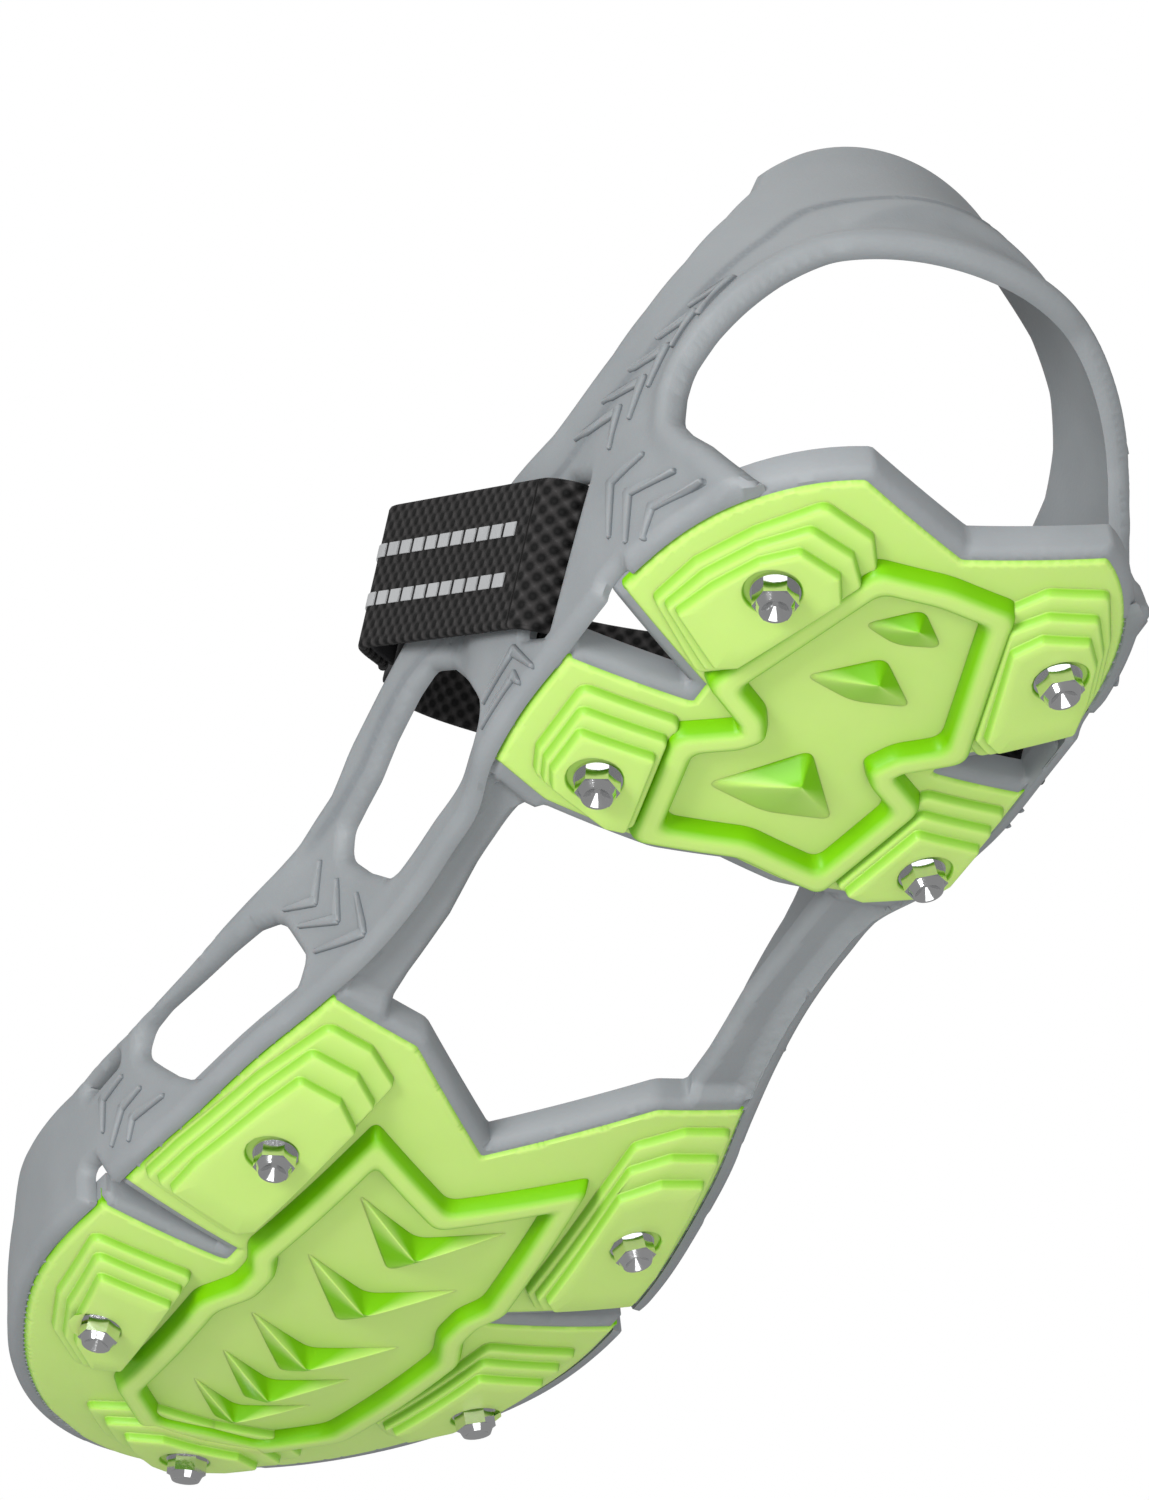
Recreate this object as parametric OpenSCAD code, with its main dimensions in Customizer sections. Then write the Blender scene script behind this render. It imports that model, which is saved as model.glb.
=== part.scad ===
// Over-boot ice cleat: a stretch harness with two studded outsoles and an instep strap.
// Toe toward +X, the strap's opening side toward +Y, stud tips on z = 0, lengths in millimetres.

/* [Boot it fits] */
// Sole length from heel to toe
sole_length = 313; // [295:1:330]
// Sole width at the ball of the foot
forefoot_width = 104; // [98:1:110]
// Sole width at the heel
heel_width = 85; // [80:1:90]
// Sole width at the waist, under the arch
waist_width = 72; // [68:1:78]
// Rise of the sole at the toe tip
toe_rise = 26; // [18:1:30]
// Radius of the sole across the foot
cross_radius = 200; // [180:10:400]

/* [Outsoles] */
// Stud tip to the floor of the tread
tread_depth = 9.6; // [8.8:0.1:11]
// Thickness of an outsole under the tread floor
plate_thickness = 3.4; // [3:0.1:5]
// Height of one terrace of a lug
terrace = 1.8; // [1.2:0.1:2]
// Height of the rib round the tread floor
rib_height = 3.4; // [2:0.1:4]
// Height of the tallest tread wedge
wedge_height = 4.6; // [3:0.1:5]
// Corner radius of an outsole
corner_radius = 2; // [1:0.25:2.5]

/* [Studs] */
// Washer flange diameter
flange_diameter = 8; // [7:0.1:9]
// Washer flange thickness
flange_thickness = 1; // [0.8:0.1:1.4]
// Hexagon across its flats
hex_flats = 6.35; // [5.5:0.05:7]
// Diameter of the biting ring at the tip
tip_diameter = 5.2; // [4:0.1:6]
// Shank diameter
shank_diameter = 4.2; // [3.5:0.1:5]
// Tip to the seat under the flange
stud_height = 5; // [4.4:0.1:6]
// Depth of the seat sunk into a lug
seat_depth = 0.8; // [0.5:0.1:1.2]
// Clear gap round a stud
stud_gap = 0.15; // [0.1:0.05:0.3]

/* [Harness] */
// Wall of the side nets
wall = 2.8; // [2.4:0.1:3.6]
// Extra thickness of the top rail
rail_extra = 1.2; // [0.6:0.1:2]
// Height of the top rail's thick edge
rail_edge = 6; // [4:0.5:8]
// Tray floor under an outsole
tray_floor = 2.4; // [2:0.1:3]
// Rim round the inner edges of an outsole
tray_rim = 2; // [1.6:0.1:2.6]
// Rim set back from the tread floor
rim_setback = 0.6; // [0.3:0.1:1]
// Height of the embossed chevrons
emboss = 0.7; // [0.4:0.1:1]
// Top of the heel tab over the floor
tab_top = 105; // [96:1:112]

/* [Strap] */
// Webbing width
strap_width = 25; // [20:1:26]
// Webbing thickness
strap_thickness = 1.6; // [1.2:0.1:2]
// Slope of the strap over the instep, degrees
strap_angle = 37; // [34:1:40]
// Slot to the top of the instep, along the strap
strap_reach = 115; // [108:1:122]
// Length of the loose flap
flap_length = 78; // [72:1:84]
// Thickness of a hook or loop patch
patch_thickness = 0.8; // [0.6:0.1:1]
// Clear gap between pieces that part from each other
part_gap = 0.4; // [0.3:0.05:0.6]

/* [Hidden] */
$fn = 48;
grow_x = sole_length / 313;
grow_heel = heel_width / 85;
grow_fore = forefoot_width / 104;
grow_z = tab_top / 105;
grow_waist = waist_width / 72;
swell = 7 * grow_waist;
edge_gap = 0.15;
middle = 142.25;
heel_end = X(-14);
toe_end = X(299);
bend_x = X(172);
curve = 1 / (2 * cross_radius);
heel_studs = [[X(14.5), 26.3 * grow_heel], [X(64), 30.8 * grow_heel]];
fore_studs = [[X(171.6), 35.5 * grow_fore], [X(237), 38.3 * grow_fore], [X(280), 0]];
plate_top = tread_depth + plate_thickness;
tray_top = plate_top + tray_floor;
rim_z = tread_depth + rim_setback;
lug_face = stud_height - seat_depth;
tier_2 = lug_face + terrace;
tier_1 = lug_face + 2 * terrace;
slot_x = X(46.5);
slot_z = Z(31.8);
slot_gap = 0.7;
slot_front = 1.5;
band_slack = 1.1;
beside_slot = concat([for (a = [40:5:100]) form_half((X(a) - heel_end) / sole_length, Z(30), 1)],
    [for (a = [40:5:60]) for (s = [-1, 1]) form_half((X(a) - heel_end) / sole_length, Z(8), s)]);
inner_y = min(beside_slot) - band_slack - strap_thickness;
rail_out = max(beside_slot) + wall + rail_extra;
outer_y = rail_out + part_gap + strap_thickness;
fold_radius = (outer_y - inner_y) / 2;
slot_rear = -fold_radius - band_slack;
rail_top = Z(59);
loop_flat = rail_top + 19;
loop_end = loop_flat + 12;
patch_half = 18;
hinge_d = 1 + part_gap + strap_thickness / 2;
hinge_y = outer_y - strap_thickness / 2;
band_from = 9;
band_low = 32;
toe_from = 208;
rib_inset = 0.2;
rib_width = 5.4;
rib_bevel = 1;
dash_pitch = 5.2;
dash_length = 3.8;
dash_width = 2.4;
dash_height = 0.25;
label_length = 8;
sewn_gap = 0.1;
lime = "#b4dd6c";
grey = "#8a9299";
zinc = "#d5d8da";
black = "#222326";
silver = "#c9ccce";
thread = "#4a4c50";
pale_blue = "#9fc4d8";

// A reference place along the sole, counted from the heel notch, as a model x
function X(a) = (a - middle) * grow_x;

// A reference height as a model height
function Z(b) = b * grow_z;

function mix(a, b, t) = a + (b - a) * t;

// Rise of the sole line toward the toe
function spring(x) = toe_rise * pow(max(0, x - bend_x) / (toe_end - bend_x), 2);

// Distance of the studs from the centre line at a place along the sole
function stud_y(x) = lookup(x, [heel_studs[0], heel_studs[1], fore_studs[0], fore_studs[1]]);

// Lift of the sole surface: toe spring, and the curve across the foot
function lift(x, y) = spring(x) + curve * (y * y - pow(stud_y(x), 2));

function limit(t) = max(0, min(1, t));

// Half width of the sole line, from heel 0 to toe 1
function sole_half(u) =
    let (h = heel_width / 2, w = waist_width / 2, f = forefoot_width / 2)
    lookup(u, [[0, 0], [0.004, 0.27 * h], [0.018, 0.53 * h], [0.045, 0.745 * h], [0.08, 0.89 * h],
        [0.127, 0.977 * h], [0.19, h], [0.25, h], [0.285, mix(h, w, 0.3)], [0.315, mix(h, w, 0.9)],
        [0.35, w], [0.39, w], [0.445, mix(w, f, 0.11)], [0.495, mix(w, f, 0.31)],
        [0.546, mix(w, f, 0.55)], [0.604, mix(w, f, 0.74)], [0.66, mix(w, f, 0.9)], [0.71, 0.99 * f],
        [0.75, f], [0.79, 0.98 * f], [0.825, 0.93 * f], [0.86, 0.85 * f], [0.895, 0.75 * f],
        [0.925, 0.64 * f], [0.955, 0.5 * f], [0.978, 0.35 * f], [0.993, 0.19 * f], [1, 0]]);

// The sole leans to the near side, most of all at the waist
function lean(u) =
    grow_waist * lookup(u, [[0, 0], [0.03, 0.8], [0.135, 1.5], [0.25, 1.7], [0.285, 2.4], [0.31, 3.6],
        [0.345, 3.6], [0.39, 2.8], [0.445, 1.6], [0.495, 0.8], [0.55, 0], [1, 0]]);

// Boot form over the sole line: swell over the waist, drawn in toward the top and round the heel
function form_half(u, h, side) =
    (sole_half(u) + side * lean(u) * limit(1 - h / Z(30))
        + swell * exp(-pow((u - 0.38) / 0.11, 2)) * limit(h / Z(30)))
    * lookup(h / grow_z, [[0, 1], [25, 1], [40, 0.985], [55, 0.92], [70, 0.83], [85, 0.75], [110, 0.7]])
    * (1 - 0.28 * exp(-u / 0.12) * limit((h / grow_z - 25) / 45));

function form_heel(h) =
    heel_end + grow_x * lookup(h / grow_z, [[0, 0], [15, -2], [30, -3], [45, 0], [60, 6], [72, 12],
        [84, 17], [110, 24]]);

function form_toe(h) =
    toe_end + grow_x * lookup(h / grow_z, [[0, 0], [12, -2], [25, -12], [36, -28], [46, -50], [56, -80],
        [68, -110], [85, -140], [110, -165]]);

// One level ring of the boot form, grown outward by off
function ring(h, off, n) = [for (i = [0:2 * n - 1])
    let (t = 180 * (i <= n ? i : 2 * n - i) / n, u = (1 - cos(t)) / 2,
        x = mix(form_heel(h), form_toe(h), u), c = -pow(cos(t), 3), s = sqrt(1 - c * c),
        side = i <= n ? 1 : -1)
    [x + off * c, side * (form_half(u, h, side) + off * s), tray_top + spring(x) + h]];

// The boot form as one closed solid
module form(off, reach) {
    n = 26;
    levels = [-20 - reach, 0, 12, 25, 36, 46, 56, 68, 80, 92 + reach];
    m = 2 * n;
    k = len(levels);
    points = [for (h = levels) each ring(Z(h), off, n)];
    sides = [for (j = [0:k - 2]) for (i = [0:m - 1]) let (a = j * m + i, b = j * m + (i + 1) % m)
        each [[a, b, b + m], [a, b + m, a + m]]];
    polyhedron(points, concat([[for (i = [m - 1:-1:0]) i]], sides,
        [[for (i = [0:m - 1]) (k - 1) * m + i]]), convexity = 6);
}

// The sole's plan, inside the walls
module sole_plan() {
    polygon([for (p = ring(0, 0, 26)) [p[0], p[1]]]);
}

// A pattern seen from the side, run through the whole width
module through() {
    rotate([90, 0, 0]) linear_extrude(3 * forefoot_width, center = true) children();
}

// A slab between two heights over the floor that follows the sole's surface
module slab(low, high) {
    nx = 22;
    ny = 8;
    x0 = X(-26);
    step_x = (X(304) - x0) / nx;
    step_y = 16 * grow_fore;
    row = ny + 1;
    all = (nx + 1) * row;
    points = [for (z = [low, high]) for (i = [0:nx]) for (j = [0:ny])
        let (x = x0 + i * step_x, y = (j - ny / 2) * step_y) [x, y, z + lift(x, y)]];
    top = [for (i = [0:nx - 1]) for (j = [0:ny - 1]) let (a = all + i * row + j)
        each [[a, a + 1, a + row + 1], [a, a + row + 1, a + row]]];
    bottom = [for (i = [0:nx - 1]) for (j = [0:ny - 1]) let (a = i * row + j)
        each [[a, a + row + 1, a + 1], [a, a + row, a + row + 1]]];
    ends = [for (j = [0:ny - 1]) each [[j + 1, all + j + 1, all + j, j],
        [nx * row + j, all + nx * row + j, all + nx * row + j + 1, nx * row + j + 1]]];
    sides = [for (i = [0:nx - 1]) let (a = i * row, b = a + row, c = a + ny, d = b + ny)
        each [[a, all + a, all + b, b], [d, all + d, all + c, c]]];
    polyhedron(points, concat(top, bottom, ends, sides), convexity = 6);
}

// A plan shape between two heights over the floor
module level(low, high) {
    intersection() {
        slab(low, high);
        translate([0, 0, -20]) linear_extrude(120) children();
    }
}

module both_sides() {
    children();
    mirror([0, 1]) children();
}

// A rounded flat shape round corner places given along and across the sole
module pad(places, scale_y, r) {
    hull() for (p = places) translate([X(p[0]), p[1] * scale_y]) circle(max(r, 0.1), $fn = 12);
}

// Outline of the heel outsole, grown by a rim for its tray
module heel_outline(grow) {
    both_sides() {
        pad([[2, 0], [-7, 23.5], [0.5, 32.5], [9, 38.5], [18, 42], [27.5, 43.5], [29.5, 41], [40, 22],
            [42, 0]], grow_heel, corner_radius + grow);
        pad([[48, 23], [49.5, 43.5], [71.5, 43.5], [75.5, 32], [76, 12], [73.5, 0], [42, 0]],
            grow_heel, corner_radius + grow);
        pad([[36, 0], [37, 20.5], [47, 20.5], [50, 0]], grow_heel, corner_radius + grow);
    }
}

// Outline of the forefoot outsole, made the same way
module forefoot_outline(grow) {
    both_sides() {
        pad([[164, 0], [142, 24], [138.5, 42], [152, 48], [170, 52], [189, 55], [195, 54],
            [196.5, 51.5], [203, 26], [206, 0]], grow_fore, corner_radius + grow);
        pad([[211, 27], [209, 53], [220, 54], [240, 51], [253, 46.5], [271, 35], [284.5, 23.5],
            [293, 13], [300, 0], [206, 0]], grow_fore, corner_radius + grow);
        pad([[198, 0], [200, 24], [212, 24], [214, 0]], grow_fore, corner_radius + grow);
    }
}

// An outline with its rim, cut off at the sole line or a little inside or outside it
module sole_part(heel, grow, reach) {
    intersection() {
        offset(delta = reach) sole_plan();
        if (heel) heel_outline(grow);
        else forefoot_outline(grow);
    }
}

// One terrace of the lugs on both sides, set back from the sole line
module terrace_plan(setback) {
    intersection() {
        offset(delta = -setback) sole_plan();
        both_sides() children();
    }
}

// Floor of the tread in the middle of the heel outsole
module heel_floor(grow) {
    offset(r = grow, $fn = 16) both_sides() polygon([for (p = [[9, 0], [10, 9], [37, 18], [41, 11.5],
        [46, 8.5], [50, 11.5], [54, 17.5], [70, 14], [67, 0]]) [X(p[0]), p[1] * grow_heel]]);
}

// Floor of the tread in the middle of the forefoot outsole
module forefoot_floor(grow) {
    offset(r = grow, $fn = 16) both_sides() polygon([for (p = [[181, 0], [170, 16.5], [200, 20],
        [205, 17.5], [213, 17.5], [221, 21], [258, 18.5], [268, 10], [267, 0]])
        [X(p[0]), p[1] * grow_fore]]);
}

module tread_floor(heel, grow) {
    if (heel) heel_floor(grow);
    else forefoot_floor(grow);
}

// A stepped rib round the floor of the tread
module rib(heel) {
    level(tread_depth - rib_height / 2, tread_depth + 1) difference() {
        tread_floor(heel, rib_inset + rib_width);
        tread_floor(heel, rib_inset);
    }
    level(tread_depth - rib_height, tread_depth) difference() {
        tread_floor(heel, rib_inset + rib_width - rib_bevel);
        tread_floor(heel, rib_inset + rib_bevel);
    }
}

// One four-cornered tread wedge: three places on the tread floor and a crest
module wedge(a, b, c, crest, height, scale_y) {
    place = [for (p = [a, b, c, crest]) [X(p[0]), p[1] * scale_y]];
    points = [for (i = [0:3]) let (x = place[i][0], y = place[i][1])
        [x, y, tread_depth + lift(x, y) + (i < 3 ? 0.6 : -height)]];
    hull() polyhedron(points, [[0, 1, 2], [0, 3, 1], [1, 3, 2], [2, 3, 0]]);
}

// An arrow of the heel tread, its point toward the heel
module heel_arrow(tip, end, half, height) {
    crest = [mix(tip, end, 0.28), 0];
    for (s = [-1, 1]) {
        wedge([tip, 0], [end - 1, s * half], [end + 1, 0], crest, height, grow_heel);
    }
}

// A chevron of the forefoot tread, its point toward the toe
module fore_chevron(start, half, reach, height) {
    for (s = [-1, 1]) {
        wedge([start, s * half], [start + 7.5, 0], [start + reach, 0], [start + 7.7, 0], height,
            grow_fore);
    }
}

// Lay a piece at a stud's place, square to the sole there
module at_stud(x, y) {
    slope = atan(2 * toe_rise * max(0, x - bend_x) / pow(toe_end - bend_x, 2));
    roll = atan(2 * curve * y);
    raise = tip_diameter / 2 * sin(abs(roll));
    translate([x, y, max(0, lift(x, y)) + raise]) rotate([roll, -slope, 0]) children();
}

module stud_seats(places) {
    for (p = places) for (s = p[1] == 0 ? [1] : [-1, 1]) {
        at_stud(p[0], s * p[1]) {
            translate([0, 0, -4]) cylinder(h = stud_height + 4, d = flange_diameter + 1.6, $fn = 24);
            cylinder(h = tread_depth + stud_gap, d = shank_diameter + 2 * stud_gap, $fn = 24);
        }
    }
}

module heel_outsole() {
    color(lime) difference() {
        union() {
            level(tread_depth, plate_top) sole_part(true, 0, -edge_gap);
            level(tier_1, tread_depth + 1) terrace_plan(1) {
                pad([[0, 25], [2, 17], [7, 13.5], [34, 22.5], [36.5, 26], [28, 38], [19, 35.5],
                    [9, 31]], grow_heel, corner_radius);
                pad([[51.5, 24], [71.5, 20], [73.5, 24], [70, 37], [66, 39], [52.5, 39]],
                    grow_heel, corner_radius);
            }
            level(tier_2, tier_1 + 1) terrace_plan(2) {
                pad([[3.5, 25.5], [5, 18.5], [9, 15], [32.5, 23], [34.5, 26], [27, 37], [19, 34.5],
                    [10, 30.5]], grow_heel, corner_radius - 0.4);
                pad([[54, 24.5], [72, 20.5], [73, 24], [69.5, 36], [66, 38], [55, 38]],
                    grow_heel, corner_radius - 0.4);
            }
            level(lug_face, tier_2 + 1) terrace_plan(3) {
                pad([[6.5, 26], [8, 19], [12, 16.5], [31, 23.5], [32.5, 26], [26, 36], [19, 33.5],
                    [11, 30]], grow_heel, corner_radius - 0.8);
                pad([[56.5, 25], [72, 21.5], [72.5, 24], [69, 35], [66, 37], [57.5, 37]],
                    grow_heel, corner_radius - 0.8);
            }
            rib(true);
            heel_arrow(12, 19.5, 7, wedge_height * 0.65);
            heel_arrow(24, 33.5, 9.5, wedge_height * 0.8);
            heel_arrow(47.5, 62, 11.5, wedge_height);
        }
        stud_seats(heel_studs);
    }
}

module forefoot_outsole() {
    color(lime) difference() {
        union() {
            level(tread_depth, plate_top) sole_part(false, 0, -edge_gap);
            level(tier_1, tread_depth + 1) terrace_plan(1) {
                pad([[144, 39.5], [145, 31], [150, 25], [194, 28], [197.5, 31], [192.5, 47.5],
                    [183, 47.5], [160, 43.5]], grow_fore, corner_radius);
                pad([[217, 31], [251, 27], [256, 32], [248, 39.5], [236, 44], [217, 46.5]],
                    grow_fore, corner_radius);
                pad([[269, 0], [268, 12], [275, 20], [283.5, 13], [289, 5], [290, 0]], grow_fore,
                    corner_radius);
            }
            level(tier_2, tier_1 + 1) terrace_plan(2) {
                pad([[149, 39], [150, 31], [154.5, 26], [193, 28.8], [195.5, 31], [191, 46],
                    [182, 46], [161, 42]], grow_fore, corner_radius - 0.4);
                pad([[219.5, 31.2], [250, 27.8], [253.5, 32], [246.5, 38.5], [236, 42.5],
                    [219.5, 45]], grow_fore, corner_radius - 0.4);
                pad([[272, 0], [271, 10], [276, 16.5], [282, 11.5], [288, 4], [289, 0]],
                    grow_fore, corner_radius - 0.4);
            }
            level(lug_face, tier_2 + 1) terrace_plan(3) {
                pad([[154, 38.5], [155, 31.5], [160, 26.5], [191.5, 29.5], [193.5, 31.5],
                    [190, 44.5], [181, 44.5], [162, 40.5]], grow_fore, corner_radius - 0.8);
                pad([[222.5, 31.5], [248.5, 28.5], [251, 32], [245, 37.5], [236, 41],
                    [222.5, 43.5]], grow_fore, corner_radius - 0.8);
                pad([[274.5, 0], [274, 7.5], [277, 12.5], [281.5, 9], [286.5, 3], [287.5, 0]],
                    grow_fore, corner_radius - 0.8);
            }
            rib(false);
            fore_chevron(179.5, 14.5, 18, wedge_height);
            fore_chevron(199, 15, 18, wedge_height);
            fore_chevron(221.5, 15, 18, wedge_height);
            fore_chevron(237, 13, 17, wedge_height);
            fore_chevron(251, 12, 15, wedge_height * 0.8);
        }
        stud_seats(fore_studs);
    }
}

module tray(heel) {
    difference() {
        level(rim_z, tray_top) sole_part(heel, tray_rim, 0);
        level(rim_z - 4, plate_top) sole_part(heel, 0, 1);
    }
}

module heel_tray() {
    color(grey) tray(true);
}

module forefoot_tray() {
    color(grey) tray(false);
}

// Growth across the foot between the heel and the ball
function grow_at(a) = mix(grow_heel, grow_fore, limit((a - 70) / 80));

// A flat band under the arch that ties the two trays together
module arch_web(side) {
    inner = [[70, 24], [84, 28.5], [99, 28.5], [112, 28], [128, 29], [137, 29], [143, 20], [160, 30],
        [150, 60], [70, 60]];
    level(plate_top - 0.6, tray_top) intersection() {
        sole_plan();
        difference() {
            polygon([for (p = inner) [X(p[0]),
                side * p[1] * grow_at(p[0]) + 1.3 * lean((X(p[0]) - heel_end) / sole_length)]]);
            heel_outline(tray_rim);
            forefoot_outline(tray_rim);
        }
    }
}

module near_arch_web() {
    color(grey) arch_web(1);
}

module far_arch_web() {
    color(grey) arch_web(-1);
}

function wall_foot(a) =
    let (u = (X(a) - heel_end) / (toe_end - heel_end))
    rim_z + lift(X(a), sole_half(limit(u)));

// Upper edge of the harness, seen from the side
function top_edge() = [for (p = [[316, 66], [299, 62], [275, 55], [250, 48], [228, 42.5], [208, 39.5],
    [198, 39.5], [188, 38.5], [177, 39], [167.5, 39.6], [157.5, 40.5], [142, 41.3], [134, 41.9],
    [122.6, 43.7], [114, 47.8], [107, 50], [100, 52.3], [93, 54.6], [80, 55.4], [60, 55.6], [42, 56],
    [26, 59.8], [18.8, 63.9], [12.4, 69.6], [8.3, 77.2], [7, 86], [7.3, 91], [4.9, 95.7], [2.4, 99.8],
    [1.5, 103], [0.5, 105], [-30, 105]]) [X(p[0]), Z(p[1])]];

// An opening through the nets, its corners rounded
module opening(places, r) {
    hull() for (p = places) translate([X(p[0]), Z(p[1])]) circle(r, $fn = 12);
}

// The harness walls seen from the side, with every opening
module net_pattern() {
    difference() {
        polygon(concat([for (a = [-30:9:312]) [X(a), wall_foot(a)]], top_edge()));
        opening([[-60, 2], [-7, 6], [-2, 15], [3.2, 25.5], [6, 29.8], [7.4, 33], [6.6, 36.3], [4.8, 40],
            [1.8, 43.3], [-2.4, 46.6], [-7, 50], [-11.5, 52.8], [-17, 53.4], [-60, 53.4]], 4);
        opening([[28.6, 12.6], [31.5, 12.3], [36, 7], [28.3, 7]], 2);
        translate([slot_x, slot_z]) rotate(strap_angle) translate([slot_rear, -strap_width / 2 - slot_gap])
            square([slot_front - slot_rear, strap_width + 2 * slot_gap]);
        opening([[86.5, 38.7], [85, 36.4], [77.8, 25.6], [75.8, 21.4], [77, 20.9], [109, 21.6],
            [112.5, 22.3], [114.2, 24], [118.3, 28], [121.2, 32], [120.5, 33.4], [117, 34.4],
            [111, 35.7], [104, 38.6], [95, 41], [90.5, 41.5]], 3.2);
        opening([[142.3, 20.8], [143.6, 19.2], [147.5, 18.8], [170, 19.1], [173, 20.9], [177.7, 25.1],
            [181.5, 29.5], [184, 32.6], [182.8, 33.8], [178.6, 34.4], [160, 33.6], [152, 32.8],
            [148, 31.2], [145.6, 28.8]], 2.6);
        opening([[193.3, 35.6], [203.2, 35.9]], 1);
        opening([[199.5, 9], [205.8, 20.6], [207.3, 20.8], [207.6, 9]], 1.6);
    }
}

// The thick upper edge of the harness, and all above it
module rail_pattern() {
    difference() {
        translate([X(-40), Z(24)]) square([X(325) - X(-40), tab_top]);
        offset(delta = -rail_edge) polygon(concat(top_edge(), [[X(-60), tab_top], [X(-60), -40],
            [X(330), -40], [X(330), Z(66)]]));
    }
}

// A raised chevron: an arm's end, its point, and the other arm's end
module emboss_chevron(first, point, second) {
    for (end = [first, second]) hull() {
        translate([X(point[0]), Z(point[1])]) circle(0.8, $fn = 6);
        translate([X(end[0]), Z(end[1])]) circle(0.3, $fn = 6);
    }
}

module emboss_pattern() {
    emboss_chevron([7.7, 55.8], [1.1, 56.8], [4.2, 50.5]);
    emboss_chevron([13.8, 53.1], [6.9, 53.1], [10.3, 48.2]);
    emboss_chevron([20, 50.9], [12.3, 49.4], [15.9, 43.8]);
    emboss_chevron([27.2, 49.9], [17.6, 46.5], [20.5, 40.3]);
    emboss_chevron([35.4, 48.7], [23.8, 45], [26.1, 38.4]);
    emboss_chevron([18.4, 30.5], [26.6, 31], [28.2, 20.7]);
    emboss_chevron([12.3, 21.9], [22.6, 25.6], [24.3, 16.4]);
    emboss_chevron([7, 15.5], [17.8, 18.7], [20.5, 14]);
    emboss_chevron([69.3, 19.7], [58, 21.2], [53.2, 14]);
    emboss_chevron([71, 15.8], [58.7, 16.3], [57.4, 14]);
    emboss_chevron([83.4, 46.3], [80, 40], [73.8, 38.8]);
    emboss_chevron([130, 34.2], [133.5, 28.3], [141.5, 32.2]);
    emboss_chevron([126.6, 27.8], [128.8, 21.2], [138.4, 26.5]);
    emboss_chevron([122.2, 21.7], [122.6, 14], [135.6, 19.2]);
    emboss_chevron([192, 30.9], [199, 30.7], [199.9, 24.4]);
    emboss_chevron([187, 25], [193, 24.8], [197.3, 19.6]);
    emboss_chevron([180.7, 19.1], [190, 20.7], [191.8, 17]);
}

// The walls on the boot form, thicker at the rail and the chevrons, cut to the net
module harness_walls() {
    intersection() {
        difference() {
            union() {
                form(wall, 0);
                intersection() {
                    form(wall + rail_extra, 0);
                    through() rail_pattern();
                }
                intersection() {
                    form(wall + emboss, 0);
                    through() emboss_pattern();
                }
            }
            form(0, 2);
        }
        through() net_pattern();
    }
}

// A stretch of the harness between two places and two heights, on one side or, with 0, on both
module stretch(from, to, low, high, side) {
    translate([X(from), side > 0 ? 0 : -forefoot_width, Z(low)])
        cube([X(to) - X(from), (side == 0 ? 2 : 1) * forefoot_width, Z(high) - Z(low)]);
}

module side_net(side) {
    intersection() {
        harness_walls();
        union() {
            stretch(band_from, toe_from, -10, 130, side);
            stretch(-50, band_from, -10, band_low, side);
        }
    }
}

module near_side_net() {
    color(grey) side_net(1);
}

module far_side_net() {
    color(grey) side_net(-1);
}

module heel_band() {
    color(grey) intersection() {
        harness_walls();
        stretch(-50, band_from, band_low, 130, 0);
    }
}

module toe_band() {
    color(grey) intersection() {
        harness_walls();
        stretch(toe_from, 330, -10, 130, 0);
    }
}

// A hexagon stud: biting ring up front, washer flange on the lug, shank in the outsole
module stud(place, side) {
    color(zinc) at_stud(place[0], side * place[1]) difference() {
        union() {
            translate([0, 0, stud_height - flange_thickness])
                cylinder(h = flange_thickness, d = flange_diameter);
            translate([0, 0, 1.2])
                cylinder(h = stud_height - flange_thickness - 1.2, d = hex_flats / cos(30), $fn = 6);
            cylinder(h = 1.2, d1 = tip_diameter, d2 = hex_flats);
            translate([0, 0, stud_height]) cylinder(h = tread_depth - stud_height, d = shank_diameter);
        }
        translate([0, 0, -0.01]) cylinder(h = 1.6, d1 = tip_diameter - 0.8, d2 = 1);
    }
}

module stud_heel_rear_near() stud(heel_studs[0], 1);
module stud_heel_rear_far() stud(heel_studs[0], -1);
module stud_heel_front_near() stud(heel_studs[1], 1);
module stud_heel_front_far() stud(heel_studs[1], -1);
module stud_fore_rear_near() stud(fore_studs[0], 1);
module stud_fore_rear_far() stud(fore_studs[0], -1);
module stud_fore_front_near() stud(fore_studs[1], 1);
module stud_fore_front_far() stud(fore_studs[1], -1);
module stud_toe() stud(fore_studs[2], 1);

// The strap's own frame: along the strap from the slot, across the boot, over its width
module strap_frame() {
    translate([slot_x, 0, slot_z]) rotate([0, -strap_angle, 0]) children();
}

// Half width inside the strap's arch at a distance along the strap
function arch(d) =
    let (t = max(0, d - 12) / (strap_reach - 12)) inner_y * pow(max(0, 1 - pow(t, 2.6)), 1 / 2.6);

// Smooth step from 0 to 1 between two distances
function ease(d, a, b) = let (t = limit((d - a) / (b - a))) t * t * (3 - 2 * t);

// Face of the flap toward the boot: over the rail first, then down onto the patches
function flap_face(d) =
    mix(outer_y - strap_thickness, arch(d) + strap_thickness + 2 * patch_thickness + part_gap
        + 2 * sewn_gap, ease(d, rail_top, flap_length));

// Outside of the far loop: over the rail first, then down onto the band
function loop_face(d) =
    mix(outer_y, arch(d) + 2 * strap_thickness + 3 * sewn_gap, ease(d, rail_top, loop_flat));

// A flat line moved sideways, to its left
function beside(line, t) = let (n = len(line)) [for (i = [0:n - 1])
    let (a = line[max(0, i - 1)], b = line[min(n - 1, i + 1)], v = (b - a) / norm(b - a))
    line[i] + t * [-v[1], v[0]]];

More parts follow.
